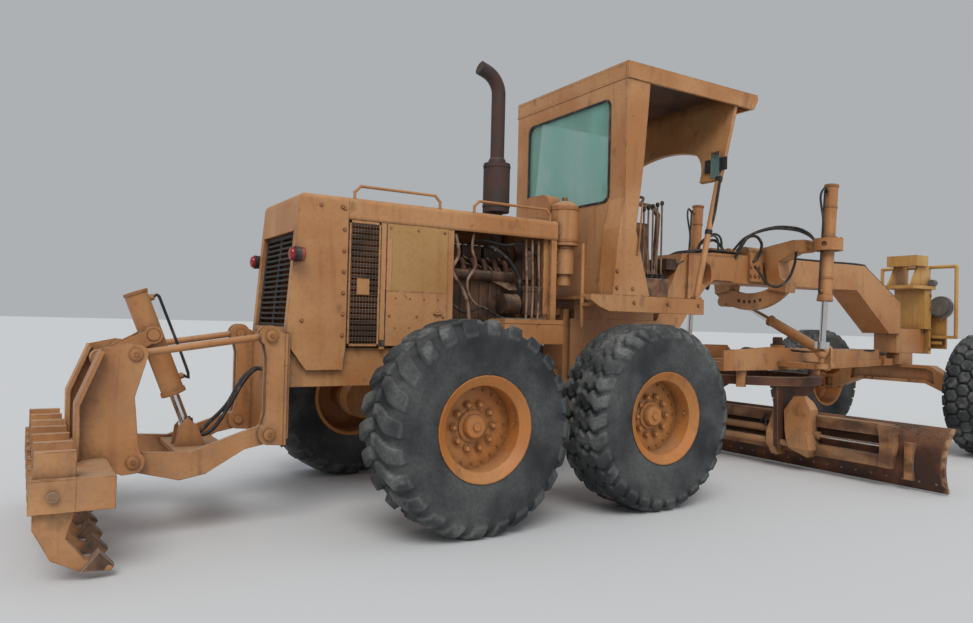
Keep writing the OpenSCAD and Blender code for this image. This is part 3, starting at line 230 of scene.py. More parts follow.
def make_metal_group():
    """Bare or oily metal: two tones by patches, rust bloom, oil stains and dust on top."""
    tree, given, out = new_group("worked_metal", Base=RUST, Bloom=RUST_LIGHT, Scale=6.0, Dust=0.3, Shine=0.0)
    field = tree.node("ShaderNodeTexNoise", {"Vector": tree.coords(), "Scale": given["Scale"],
                                             "Detail": 8.0}).outputs[0]
    fine = tree.noise(60.0, 4.0)
    bloom = tree.ramp(field, 0.42, 0.62)
    color = tree.mix(bloom, given["Base"], given["Bloom"])
    color = tree.mix(tree.ramp(tree.noise(4.0, 5.0, (1, 1, 0.4)), 0.55, 0.7, 0.0, 0.7), color, GREASE)
    lying = tree.times(tree.ramp(tree.upward(), 0.2, 0.9), given["Dust"])
    color = tree.mix(tree.times(lying, tree.ramp(fine, 0.3, 0.6)), color, DUST)
    shine = tree.clamped(tree.times(tree.edges(0.008, 6.0), given["Shine"]))
    color = tree.mix(shine, color, SCRAPED)
    rough = tree.math("SUBTRACT", tree.plus(0.62, bloom, 0.2), tree.times(shine, 0.3))
    tree.feed(out, {"Color": color, "Roughness": rough, "Height": tree.plus(field, fine, 0.4)})
    return tree.tree


WEAR = make_wear_group()
METAL = make_metal_group()
MATERIALS = {}


def start_material(name, roughness=0.5, metallic=0.0):
    """A material with a Principled shader whose plain values are set on its own sockets."""
    material = MATERIALS[name] = bpy.data.materials.new(name)
    material.use_nodes = True
    tree = Shading(material.node_tree)
    shader = tree.tree.nodes["Principled BSDF"]
    tree.feed(shader, {"Roughness": roughness, "Metallic": metallic})
    return tree, shader


def painted(name, paint, faded, corner=0.006, **values):
    """Weathered paint on steel; the values are those of the shared group."""
    tree, shader = start_material(name)
    wear = tree.group(WEAR, Paint=paint, Faded=faded, **values)
    tree.finish(shader, wear["Color"], wear, 0.5, 0.002, corner)


def metal(name, base, bloom, metallic=0.0, corner=0.004, **values):
    """Castings, rusted steel and worn working faces; the values are those of the shared group."""
    tree, shader = start_material(name, metallic=metallic)
    steel = tree.group(METAL, Base=base, Bloom=bloom, **values)
    tree.finish(shader, steel["Color"], steel, 0.5, 0.003, corner)


def rubber(name, base, dust, dusting):
    """Tyre rubber: grey, with dust on the lugs' tops and edges and in the patches of the side walls."""
    tree, shader = start_material(name, roughness=0.82)
    tread = tree.node("ShaderNodeAttribute", attribute_name="tread").outputs["Fac"]
    fine = tree.noise(46.0, 5.0)
    rim = tree.math("ABSOLUTE", tree.math("SUBTRACT", tree.times(tread, 2.0), 1.2))
    edge = tree.math("SUBTRACT", 1.0, rim)
    tops = tree.times(tree.ramp(tread, 0.5, 1.0), tree.ramp(tree.noise(5.0, 7.0), 0.5, 0.6))
    amount = tree.times(tree.ramp(tree.noise(2.6, 6.0), 0.3, 0.7), dusting)
    amount = tree.plus(tree.plus(amount, tree.ramp(edge, 0.3, 1.0), 0.3), tops, 0.55)
    amount = tree.times(amount, tree.ramp(fine, 0.2, 0.7, 0.5, 1.0))
    bump = tree.node("ShaderNodeBump", {"Height": fine, "Strength": 0.35, "Distance": 0.003})
    tree.feed(shader, {"Base Color": tree.mix(amount, base, dust), "Normal": bump.outputs[0]})


def glossy(name, color, roughness=0.2, metallic=0.0, marks=0.15):
    """A smooth part: rods, lenses and hose covers, with faint smears."""
    tree, shader = start_material(name, metallic=metallic)
    smears = tree.noise(24.0, 5.0, (1, 1, 0.3))
    tree.feed(shader, {"Roughness": tree.ramp(smears, 0.3, 0.7, roughness, roughness + marks),
                       "Base Color": tree.mix(tree.ramp(smears, 0.5, 0.8, 0.0, 0.4), color, DUST)})


def blade_finish(name):
    """Rusted plate, and worn paint on the rails and brackets, which lie outside the plate's own arc."""
    tree, shader = start_material(name)
    arc = tree.vector_math("SUBTRACT", tree.coords(), (BLADE_ARC_X, 0, BLADE_ARC_Z))
    reach = tree.vector_math("LENGTH", tree.vector_math("MULTIPLY", arc, (1, 0, 1)), output="Value")
    outside = tree.ramp(reach, BLADE_ARC_R + 0.001, BLADE_ARC_R + 0.005)
    patch = tree.ramp(tree.noise(6.0, 8.0, (1, 0.4, 1)), 0.4, 0.6, 0.95, 0.25)
    paint = tree.group(WEAR, Paint=PAINT, Faded=PAINT_FADED, Dust=0.5, Chips=1.0, Streaks=0.8, Grime=0.7)
    steel = tree.group(METAL, Base=(0.055, 0.02, 0.011), Bloom=(0.15, 0.052, 0.022), Scale=4.0,
                       Dust=0.2, Shine=0.5)
    ends = tree.math("ABSOLUTE", tree.part(tree.coords(), 1))
    bright = tree.times(tree.ramp(ends, 2.085, 2.125), tree.ramp(tree.noise(18.0), 0.35, 0.6))
    color = tree.mix(bright, tree.mix(tree.times(outside, patch), steel["Color"], paint["Color"]), SCOURED)
    tree.finish(shader, color, steel, 0.6, 0.003, 0.004)


def window_glass(name, tint):
    """Tinted pane: mostly clear, with a dusty film in patches."""
    tree, shader = start_material(name, roughness=0.06)
    film = tree.ramp(tree.noise(3.0, 6.0, (1, 1, 0.5)), 0.35, 0.7, 0.55, 0.78)
    tree.feed(shader, {"Base Color": tint, "Specular IOR Level": 0.5, "Alpha": film})


# Finishes: the frame's own slots, then those of the scene's pieces
painted("body_paint", PAINT, PAINT_FADED, Dust=0.55, Chips=0.55)
painted("panel_paint", PANEL, PANEL_FADED, Dust=0.3, Chips=0.3, Streaks=0.2, Grime=0.2)
painted("rim_paint", RIM_ORANGE, RIM_FADED, Dust=0.35, Chips=0.45, Streaks=0.15, Grime=0.25)
painted("guard_paint", GUARD_YELLOW, GUARD_FADED, Dust=0.4, Chips=0.5)
rubber("tyre_rubber", RUBBER, RUBBER_DUST, 0.55)
metal("engine_metal", (0.05, 0.024, 0.014), (0.12, 0.058, 0.032), Dust=0.35)
metal("black_paint", (0.022, 0.02, 0.019), (0.05, 0.04, 0.035), Dust=0.4)
metal("exhaust_steel", (0.045, 0.03, 0.027), (0.075, 0.035, 0.03), Dust=0.2)
glossy("lamp_red", (0.3, 0.012, 0.012), 0.15)
glossy("lamp_clear", (0.62, 0.62, 0.6), 0.1)
metal("worn_steel", (0.075, 0.055, 0.048), (0.13, 0.08, 0.055), Dust=0.2, Shine=0.6, metallic=0.5)
glossy("chrome_rod", (0.72, 0.72, 0.72), 0.12, 1.0, 0.2)
window_glass("tinted_glass", (0.22, 0.47, 0.4))
glossy("dark_plastic", (0.02, 0.02, 0.022), 0.45)
metal("seat_cover", (0.1, 0.05, 0.028), (0.15, 0.08, 0.045), Scale=9.0, Dust=0.3)
metal("rust_brown", (0.075, 0.027, 0.014), (0.15, 0.058, 0.026), Scale=4.0, Dust=0.3, Shine=0.4)
blade_finish("blade_rust")
glossy("lamp_shell", (0.13, 0.13, 0.125), 0.45)
painted("bolt_paint", (0.36, 0.155, 0.055), PAINT, Dust=0.4, Chips=0.9, corner=0.002)
metal("mesh_wire", (0.1, 0.045, 0.022), (0.2, 0.09, 0.045), Dust=0.5, corner=0.001)
glossy("hose_black", (0.016, 0.015, 0.015), 0.5)
metal("pale_pipe", (0.3, 0.185, 0.125), (0.15, 0.075, 0.042), Scale=14.0, Dust=0.3, corner=0.001)
metal("tray_paint", (0.1, 0.15, 0.14), (0.16, 0.14, 0.11), Scale=9.0, Dust=0.3)
metal("manifold_rust", (0.06, 0.024, 0.013), (0.13, 0.05, 0.024), Scale=9.0, Dust=0.1)
metal("bare_steel", (0.3, 0.27, 0.24), (0.18, 0.12, 0.08), Scale=20.0, metallic=0.6, Shine=0.5)
glossy("mirror_glass", (0.75, 0.78, 0.8), 0.05, 1.0, 0.1)
# Dark rusty brown for the sheet under the cab roof: painted shade of the roof's underside
metal("lining", (0.07, 0.03, 0.016), (0.11, 0.05, 0.028), Scale=3.0, Dust=0.0)
metal("worn_brown", (0.13, 0.062, 0.036), (0.26, 0.15, 0.09), Scale=11.0, Dust=0.4, Shine=0.7)

# Nodes with a finish of their own, in place of their slot's
NODE_FINISHES = {"moldboard": "blade_rust", "controls": "worn_brown", "front_lamps": "lamp_shell"}


def dress_frame():
    """Gives each CAD node the finish of its slot."""
    slot_of = {name: slot["slot"] for slot in frame["record"]["materials"] for name in slot.get("nodes", [])}
    for name, obj in NODES.items():
        slot = slot_of.get(name) or obj.data.materials[0].name.split(".")[0]
        obj.data.materials.clear()
        obj.data.materials.append(MATERIALS[NODE_FINISHES.get(name, slot)])


# Meshes worked out on grids
def make_piece(name, points, faces, material, body):
    """A mesh object from an array of points and a list of face arrays, riding on a body if one is named."""
    polygons = [polygon for group in faces for polygon in np.asarray(group, int).tolist()]
    mesh = bpy.data.meshes.new(name)
    mesh.from_pydata(np.asarray(points, float).reshape(-1, 3).tolist(), [], polygons)
    mesh.polygons.foreach_set("use_smooth", np.full(len(mesh.polygons), True))
    mesh.materials.append(MATERIALS[material])
    mesh.validate()
    obj = bpy.data.objects.new(name, mesh)
    bpy.context.scene.collection.objects.link(obj)
    if body:
        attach(obj, body)
    return obj


def grid_faces(rows, columns, wrap_rows=True):
    """Quads that join a grid of points, closed round on itself across and, if asked, from end to end."""
    i, j = np.meshgrid(np.arange(rows - (not wrap_rows)), np.arange(columns), indexing="ij")
    a, b = (i + 1) % rows, (j + 1) % columns
    return np.stack([i * columns + j, a * columns + j, a * columns + b, i * columns + b], -1).reshape(-1, 4)


def end_faces(rows, columns):
    """The walls of a grid closed across, and a flat face over its first and its last row."""
    first = np.arange(columns)
    return [grid_faces(rows, columns, wrap_rows=False)[:, ::-1], first[None, ::-1],
            (rows - 1) * columns + first[None]]


def smoothstep(value, low, high):
    """Nought below low, one above high, and a smooth rise between."""
    t = np.clip((value - low) / (high - low), 0, 1)
    return t * t * (3 - 2 * t)


def lug_mask(style, angle, across):
    """How high the tread stands, from 0 in a groove to 1 on a lug, by angle and by place across (-1 to 1)."""
    side, out = np.sign(across), np.abs(across)
    if style == "chevron":
        wave = np.abs(((24 * angle / TAU + 0.55 * out ** 1.4 + 0.25 * side) % 1) - 0.5) * 2
        gap = 1 - 0.46 - 0.16 * smoothstep(out, 0.0, 0.8)
        return smoothstep(wave, gap - 0.09, gap + 0.09)
    count = 30
    if style == "zigzag":
        phase = count * angle / TAU + 0.2 * np.abs(((out * 2.4) % 1) - 0.5) * 4 + 0.25 * side
        wave = np.abs((phase % 1) - 0.5) * 2
        return np.maximum(smoothstep(wave, 0.18, 0.42), smoothstep(-out, -0.1, -0.05))
    # Six-sided blocks: the distance to the nearer of two staggered rows of centres
    tall = math.sqrt(3)
    around, sideways = count * angle / TAU + 0 * across, across * count * TYRE_HALF / (TAU * TYRE_R)
    nearest = np.ones(around.shape)
    for shift in (0.0, 0.5):
        a = np.abs((around + shift + 0.5) % 1 - 0.5)
        b = np.abs((sideways + shift * tall + tall / 2) % tall - tall / 2)
        nearest = np.minimum(nearest, np.maximum(a, 0.5 * a + 0.866 * b))
    return 1 - smoothstep(nearest, 0.37, 0.455)


# A tyre's half section by its own length: bead, side wall, shoulder and crown
SECTION_KNOTS = np.array([-1.0, -0.93, -0.8, -0.62, -0.5, -0.42, -0.34, 0.0])
SECTION_RADIUS = np.array([0.338, 0.372, 0.44, 0.555, 0.635, 0.672, 0.688, 0.688])
SECTION_HALF = np.array([0.214, 0.228, 0.2485, 0.2495, 0.238, 0.214, 0.18, 0.0])
LUG_HEIGHT, SHOULDER_HALF = 0.042, 0.235
# Radii between which the lugs rise from the side wall, and between which the crown takes over
LUG_FROM, LUG_FULL, CROWN_FROM, CROWN_FULL = 0.585, 0.665, 0.64, 0.688


def tyre(name, node, body, centre, outer_side, style):
    """A ring whose section is two bulged side walls and a crowned tread; the lugs lift the tread and run down
    the shoulders, fading towards the widest place."""
    rows, columns, back = 480, 72, 4
    angle = np.linspace(0, TAU, rows, endpoint=False)[:, None]
    t = np.linspace(-1, 1, columns - back)
    dense_t, soft = np.linspace(-1, 0, 200), np.ones(9) / 9
    raw_r, raw_w = (np.interp(dense_t, SECTION_KNOTS, values) for values in (SECTION_RADIUS, SECTION_HALF))
    dense_r, dense_w = (np.convolve(np.pad(raw, 4, "edge"), soft, "valid") for raw in (raw_r, raw_w))
    dense_w[-5:] = raw_w[-5:]
    r0 = np.interp(-np.abs(t), dense_t, dense_r)[None, :]
    w0 = (np.interp(-np.abs(t), dense_t, dense_w) * np.sign(t))[None, :]
    lug = lug_mask(style, angle, w0 / SHOULDER_HALF + 0 * angle) * smoothstep(r0, LUG_FROM, LUG_FULL)
    crown = smoothstep(r0, CROWN_FROM, CROWN_FULL)
    r = r0 + LUG_HEIGHT * lug * (0.25 + 0.75 * crown)
    w = w0 + np.sign(w0) * LUG_HEIGHT * lug * 0.55 * (1 - crown)
    w = np.clip(w, -TYRE_HALF + 0.001, TYRE_HALF - 0.001)
    ribs = 0.0025 * np.exp(-((r0 - 0.41) / 0.006) ** 2) + 0.003 * np.exp(-((r0 - 0.6) / 0.008) ** 2)
    w = np.clip(w + np.sign(w0) * ribs, -TYRE_HALF + 0.0005, TYRE_HALF - 0.0005)
    r = np.concatenate([np.minimum(r, TYRE_R), np.full((rows, back), RIM_R + 0.001)], 1)
    w = np.concatenate([w, np.repeat(np.linspace(0.18, -0.18, back)[None, :], rows, 0)], 1)
    points = np.stack([r * np.sin(angle), w * outer_side, r * np.cos(angle)], -1) + centre
    faces = grid_faces(rows, columns)
    piece = make_piece(name, placed(points.reshape(-1, 3)), [faces if outer_side > 0 else faces[:, ::-1]],
                       "tyre_rubber", body)
    values = np.concatenate([lug, np.zeros((rows, back))], 1).astype(np.float32).ravel()
    piece.data.attributes.new("tread", "FLOAT", "POINT").data.foreach_set("value", values)
    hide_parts(node)


def make_tyres():
    """Six tyres: chevron lugs behind, zigzag bars in the middle and staggered blocks in front."""
    for side, sign in SIDES:
        for place, x, track in WHEELS:
            name = f"{place}_{side}"
            tyre(f"tread_{name}", f"tyre_{name}", f"wheel_{name}",
                 (x, sign * track, HUB_Z), sign, TREADS[place])


# Forms: a form is an array of points and a list of face arrays, drawn round its own Z axis
def lathe_form(profile, sides=24):
    """A profile of (radius, height) pairs turned about Z, closed by a flat face at each end."""
    profile = np.asarray(profile, float)
    angle = np.linspace(0, TAU, sides, endpoint=False)
    ring = np.stack([np.cos(angle), np.sin(angle)], -1)
    points = np.concatenate([profile[:, None, :1] * ring[None], np.broadcast_to(
        profile[:, None, 1:], (len(profile), sides, 1))], -1).reshape(-1, 3)
    return points, end_faces(len(profile), sides)


def unit(vectors):
    """Vectors brought to length one."""
    vectors = np.asarray(vectors, float)
    return vectors / np.linalg.norm(vectors, axis=-1, keepdims=True)


def copies(form, origins, directions):
    """A form set at each origin with its Z axis along the direction there."""
    points, faces = form
    origins = np.atleast_2d(np.asarray(origins, float))
    ahead = unit(np.broadcast_to(np.asarray(directions, float), origins.shape))
    helper = np.where(np.abs(ahead[:, 2:]) > 0.9, (1.0, 0.0, 0.0), (0.0, 0.0, 1.0))
    side = unit(np.cross(helper, ahead))
    basis = np.stack([side, np.cross(ahead, side), ahead], 1)
    points_there = origins[:, None, :] + np.einsum("pk,nkj->npj", points, basis)
    offsets = (np.arange(len(origins)) * len(points))[:, None, None]
    return points_there.reshape(-1, 3), [(f[None] + offsets).reshape(-1, f.shape[1]) for f in faces]


def turned(profile, sides, origins, directions=UP):
    """Turned parts set at each origin."""
    return copies(lathe_form(profile, sides), origins, directions)


def joined(*forms):
    """Several forms as one."""
    starts = np.cumsum([0] + [len(points) for points, _ in forms])
    return (np.concatenate([points for points, _ in forms]),
            [face + start for (_, faces), start in zip(forms, starts) for face in faces])


def sided(places):
    """The same place or places on the right and on the left of the machine."""
    return [np.asarray(places, float) * (1, s, 1) for s in BOTH]


def on_both_sides(make):
    """What a function of the side (-1 or 1) makes, for both sides, as one form."""
    return joined(*(make(s) for s in BOTH))


def rods(starts, ends, radius, sides=8):
    """Round bars between pairs of points."""
    starts, ends = (np.atleast_2d(np.asarray(places, float)) for places in (starts, ends))
    points, faces = lathe_form([(radius, 0), (radius, 1)], sides)
    out_points, out_faces = copies((points * (1, 1, 0), faces), starts, ends - starts)
    rise = np.tile(points[:, 2], len(starts)).reshape(len(starts), -1, 1) * (ends - starts)[:, None]
    return out_points + rise.reshape(-1, 3), out_faces


def blocks(lows, highs):
    """Blocks between pairs of corners."""
    lows, highs = (np.atleast_2d(np.asarray(places, float)) for places in (lows, highs))
    share = np.array([(x, y, z) for z in (0, 1) for x, y in ((0, 0), (1, 0), (1, 1), (0, 1))])
    faces = np.array([(3, 2, 1, 0), (4, 5, 6, 7), (0, 1, 5, 4), (1, 2, 6, 5), (2, 3, 7, 6), (3, 0, 4, 7)])
    points = lows[:, None] + share[None] * (highs - lows)[:, None]
    offsets = (np.arange(len(lows)) * 8)[:, None, None]
    return points.reshape(-1, 3), [(faces[None] + offsets).reshape(-1, 4)]


def smooth_route(route, step):
    """A curve through given points, each stretch a cubic whose slopes come from its neighbours."""
    route = np.asarray(route, float)
    ends = np.concatenate([[2 * route[0] - route[1]], route, [2 * route[-1] - route[-2]]])
    out = []
    for a, b, c, d in zip(ends[:-3], ends[1:-2], ends[2:-1], ends[3:]):
        t = np.linspace(0, 1, max(3, int(np.linalg.norm(c - b) / step)), endpoint=False)[:, None]
        out.append(0.5 * (2 * b + (c - a) * t + (2 * a - 5 * b + 4 * c - d) * t ** 2
                          + (3 * b - a - 3 * c + d) * t ** 3))
    return np.concatenate(out + [route[-1:]])


def tube(route, radius, sides=10, step=0.015):
    """A round section carried along a smooth route, turned as little as possible from ring to ring."""
    path = smooth_route(route, step)
    ahead = unit(np.gradient(path, axis=0))
    side = [unit(np.cross(ahead[0], (0.31, 0.52, 0.79)))]
    for direction in ahead[1:]:
        side.append(unit(side[-1] - direction * np.dot(side[-1], direction)))
    side = np.array(side)
    angle = np.linspace(0, TAU, sides, endpoint=False)
    cosine, sine = np.cos(angle)[None, :, None], np.sin(angle)[None, :, None]
    ring = cosine * side[:, None] + sine * np.cross(ahead, side)[:, None]
    return (path[:, None] + radius * ring).reshape(-1, 3), end_faces(len(path), sides)


def tubes(routes, radius, sides=10, step=0.015):
    """Tubes of one size along several routes, as one form."""
    return joined(*(tube(route, radius, sides, step) for route in routes))


def bolts(size, origins, directions):
    """Hexagon heads on washers, set at each origin."""
    head = joined(lathe_form([(size * 1.35, 0), (size * 1.35, size * 0.2)], 14),
                  lathe_form([(size, size * 0.2), (size, size * 0.75), (size * 0.86, size * 0.9)], 6))
    return copies(head, origins, directions)


def circle_places(centre, radius, angles, level=False):
    """Places round a centre by angle, in the upright plane along the machine or in a level one."""
    a, b = radius * np.cos(angles), radius * np.sin(angles)
    return np.asarray(centre) + np.stack([a, b, 0 * a] if level else [a, 0 * a, b], -1)


def turns(count):
    """Angles evenly round the circle."""
    return np.arange(count) * TAU / count


def mirrored(form):
    """A form and its twin on the other side of the machine."""
    points, faces = form
    return joined(form, (points * (1, -1, 1), [f[:, ::-1] for f in faces]))


def add_form(name, form, material, body, angle=35):
    """A form as a piece with its corners kept sharp; its points are measured from the tandem's middle."""
    points, faces = form
    piece = make_piece(name, placed(points), faces, material, body)
    piece.data.set_sharp_from_angle(angle=math.radians(angle))
    return piece


# Rear half: guard, screens, panels and hood
REAR, FRONT = "rear_frame", "front_frame"
HALF_HOOD, HOOD_TOP = 0.44, 2.33
SCREEN_REAR, SCREEN_FRONT = -1.44, -1.195
PANEL_REAR, PANEL_FRONT = -1.14, -0.62
OCHRE_LOW = 1.655


def dress_guard_and_panels():
    """Bolts on the guard, mesh over the side screens, and the panels' sheets, rivets and latches."""
    rows = [(-1.479, HALF_HOOD, z) for z in np.linspace(1.32, 2.24, 7)]
    rows += [(-1.66, HALF_HOOD, 2.25), (-1.5, HALF_HOOD, 2.25), (-1.78, HALF_HOOD, 1.42)]
    add_form("guard_bolts", mirrored(bolts(0.011, rows, LEFT)), "bolt_paint", REAR)
    y = HALF_HOOD - 0.0045
    wires, levels = np.arange(SCREEN_REAR + 0.02, SCREEN_FRONT - 0.01, 0.024), np.arange(1.262, 2.15, 0.021)
    mesh = joined(rods([(x, y, 1.25) for x in wires], [(x, y, 2.16) for x in wires], 0.0024, 6),
                  rods([(SCREEN_REAR, y, z) for z in levels], [(SCREEN_FRONT, y, z) for z in levels],
                       0.0022, 6))
    add_form("screen_mesh", mirrored(mesh), "mesh_wire", REAR)
    low, high = y - 0.004, y + 0.004
    frames = blocks([(SCREEN_REAR, low, 1.242), (SCREEN_FRONT - 0.012, low, 1.242), (SCREEN_REAR, low, 2.145),
                     (SCREEN_REAR, low, 1.242), (-1.375, y + 0.001, 1.62)],
                    [(SCREEN_REAR + 0.014, high, 2.163), (SCREEN_FRONT + 0.003, high, 2.163),
                     (SCREEN_FRONT, high, 2.163), (SCREEN_FRONT, high, 1.258), (-1.275, y + 0.0045, 1.74)])
    add_form("screen_frames", mirrored(frames), "body_paint", REAR)
    y = HALF_HOOD - 0.002
    corners = [(x, y, z) for x in (PANEL_REAR + 0.03, -0.88, PANEL_FRONT - 0.03) for z in (1.47, 2.13)]
    add_form("panel_bolts", mirrored(bolts(0.008, corners, LEFT)), "bolt_paint", REAR)
    latch = joined(blocks([(PANEL_REAR, y - 0.001, OCHRE_LOW), (-0.735, y + 0.002, 1.492)],
                          [(PANEL_FRONT, y + 0.0015, OCHRE_LOW + 0.009), (-0.665, y + 0.016, 1.508)]),
                   turned([(0.024, 0), (0.024, 0.006), (0.018, 0.009)], 24, (-0.7, y, 1.5), LEFT))
    add_form("panel_latches", mirrored(latch), "body_paint", REAR)
    sheets = blocks([(PANEL_REAR, y - 0.006, 1.245), (PANEL_REAR, y, OCHRE_LOW), (-1.186, y - 0.0045, 1.22)],
                    [(PANEL_FRONT, y + 0.0012, OCHRE_LOW), (-1.095, y + 0.0012, 2.06),
                     (-1.144, y - 0.0025, 2.164)])
    add_form("panel_sheets", mirrored(sheets), "body_paint", REAR)
    rivets = [(x, y + 0.001, z) for x in (-1.06, -0.94, -0.82, -0.7) for z in (1.605, 1.385)]
    add_form("panel_rivets", mirrored(turned([(0.008, 0), (0.007, 0.003), (0.003, 0.005)], 12, rivets, LEFT)),
             "bolt_paint", REAR)
    # Black patches on the strips: painted shade standing in for the inside of their square holes
    add_form("strip_hole_shade", mirrored(blocks((-1.184, y - 0.004, 1.24), (-1.136, y - 0.001, 1.29))),
             "hose_black", REAR)
    cap = joined(turned([(0.05, 0), (0.05, 0.03), (0.035, 0.045), (0.012, 0.05)], 28, (-1.05, 0, HOOD_TOP)),
                 turned([(0.062, 0), (0.062, 0.012)], 28, (-1.05, 0, HOOD_TOP - 0.002)))
    add_form("filler_cap", cap, "bolt_paint", REAR)
    hinges = rods([(x, HALF_HOOD - 0.012, 1.435) for x in (-1.06, -0.74)],
                  [(x, HALF_HOOD - 0.012, 1.435) for x in (-1.0, -0.68)], 0.01, 12)
    add_form("panel_hinges", mirrored(hinges), "panel_paint", REAR)


def wavy(start, end, swings, depth, count=9):
    """Hand-laid pipe between two places, swinging along X as it goes."""
    t = np.linspace(0, 1, count)[:, None]
    route = np.asarray(start, float) * (1 - t) + np.asarray(end, float) * t
    route[:, 0] += depth * np.sin(t[:, 0] * swings * TAU) * np.sin(t[:, 0] * math.pi)
    return route


def block_row(low, high, pitch, count):
    """Blocks of one size repeated along the machine."""
    shift = np.arange(count)[:, None] * np.array((pitch, 0, 0))
    return blocks(low + shift, high + shift)


def dress_engine():
    """The open engine bay: covers with bolts, manifold bends, injector lines, filters and hoses."""
    heads = [(-0.53 + i * 0.215 + j * 0.165, s * 0.135, 2.092)
             for i in range(3) for j in range(2) for s in BOTH]
    covers = joined(block_row((-0.545, -0.155, 2.075), (-0.35, 0.155, 2.092), 0.215, 3),
                    mirrored(block_row((-0.58, 0.258, 1.25), (-0.555, 0.272, 1.76), 0.09, 8)),
                    blocks((-0.58, -0.2, 1.1), (0.1, 0.2, 1.19)), bolts(0.009, heads, UP))
    add_form("engine_covers", covers, "engine_metal", REAR)
    bend = np.array([(-0.5, 0.18, 1.94), (-0.5, 0.26, 1.95), (-0.49, 0.285, 1.87)])
    places = [(-0.565 + i * 0.213, 0.285, 1.83) for i in range(4)]
    ports = joined(tubes([bend + (i * 0.105, 0, 0) for i in range(6)], 0.024, 12),
                   turned([(0.058, 0), (0.058, 0.014)], 20, places, AHEAD))
    add_form("manifold_ports", mirrored(ports), "manifold_rust", REAR)
    side_heads = [(-0.55 + i * 0.075, 0.201, z) for i in range(9) for z in (1.835, 1.955)]
    add_form("head_bolts", mirrored(bolts(0.008, side_heads, LEFT)), "engine_metal", REAR)
    canisters = turned([(0.03, 0), (0.048, 0.012), (0.05, 0.03), (0.05, 0.2), (0.046, 0.215), (0.054, 0.216),
                        (0.054, 0.25), (0.02, 0.262)], 28,
                       [(0.215, 0.335, 1.5), (0.325, 0.335, 1.5), (0.215, 0.335, 1.8)])
    add_form("filters", mirrored(canisters), "engine_metal", REAR)
    turbo = joined(turned([(0.05, 0), (0.06, 0.02), (0.06, 0.06), (0.1, 0.08), (0.115, 0.12), (0.1, 0.16),
                           (0.06, 0.18), (0.045, 0.22)], 32, (0.1, 0, 2.04), AHEAD),
                   tube([(0.0, -0.15, 2.1), (0.06, -0.1, 2.07), (0.14, -0.05, 2.06), (0.2, 0.0, 2.04)],
                        0.05, 16))
    add_form("turbo", turbo, "manifold_rust", REAR)
    starter = turned([(0.04, 0), (0.065, 0.01), (0.065, 0.2), (0.05, 0.21), (0.05, 0.28), (0.03, 0.3)], 28,
                     (-0.5, 0.335, 1.36), AHEAD)
    generator = turned([(0.05, 0), (0.085, 0.01), (0.07, 0.025), (0.085, 0.04), (0.085, 0.16), (0.06, 0.18)],
                       28, (-0.06, 0.34, 1.6), AHEAD)
    add_form("starter_and_generator", mirrored(joined(starter, generator)), "engine_metal", REAR)
    lines = tubes([wavy((-0.47 + i * 0.115, 0.215, 1.99), (0.05 + 0.02 * i, 0.32, 1.72), 1.0, 0.03)
                   for i in range(5)], 0.007, 8)
    bundle = tubes([wavy((0.175 + i * 0.03, 0.385, 1.32), (0.165 + i * 0.033, 0.38, 2.15), 0.5, 0.012)
                    for i in (0, 2, 4)], 0.0105, 8)
    add_form("fuel_lines", mirrored(joined(lines, bundle)), "pale_pipe", REAR)
    drains = joined(
        tube([(-0.53, 0.395, 2.14), (-0.5, 0.4, 1.98), (-0.555, 0.4, 1.85), (-0.47, 0.4, 1.72),
              (-0.41, 0.4, 1.6), (-0.38, 0.385, 1.44), (-0.33, 0.33, 1.34)], 0.014),
        tube([(-0.36, 0.39, 2.15), (-0.375, 0.4, 2.03), (-0.34, 0.4, 1.9), (-0.41, 0.4, 1.78),
              (-0.39, 0.39, 1.66), (-0.3, 0.36, 1.58), (-0.2, 0.33, 1.56)], 0.011))
    add_form("drain_pipes", mirrored(drains), "pale_pipe", REAR)
    hoses = joined(
        tube([(-0.2, 0.29, 2.08), (-0.14, 0.37, 2.05), (0, 0.39, 1.95), (0.1, 0.38, 1.8),
              (0.13, 0.34, 1.66)], 0.017, 12),
        tube([(-0.3, 0.2, 2.09), (-0.24, 0.33, 2.12), (-0.05, 0.37, 2.09), (0.12, 0.37, 2.11),
              (0.3, 0.36, 2.02), (0.33, 0.33, 1.76)], 0.013),
        tube([(-0.55, 0.34, 1.6), (-0.42, 0.37, 1.52), (-0.25, 0.37, 1.56), (-0.1, 0.36, 1.5),
              (0.08, 0.35, 1.46), (0.24, 0.33, 1.5)], 0.012))
    add_form("engine_hoses", mirrored(hoses), "hose_black", REAR)
    tray = blocks([(-0.1, 0.3, 1.476), (-0.56, 0.412, 1.285)], [(0.34, 0.425, 1.484), (-0.2, 0.42, 1.33)])
    add_form("bay_tray", mirrored(tray), "tray_paint", REAR)
    clamps = turned([(0.0185, 0), (0.0185, 0.012)], 14, [(-0.14, 0.37, 2.05), (0.1, 0.38, 1.8)], (1, 0, -1))
    add_form("hose_clamps", mirrored(clamps), "bare_steel", REAR)


def band(radius, rise, height):
    """The profile of a clamp band that stands a little off its pipe."""
    return [(radius, 0), (radius + rise, 0.002), (radius + rise, height - 0.002), (radius, height)]


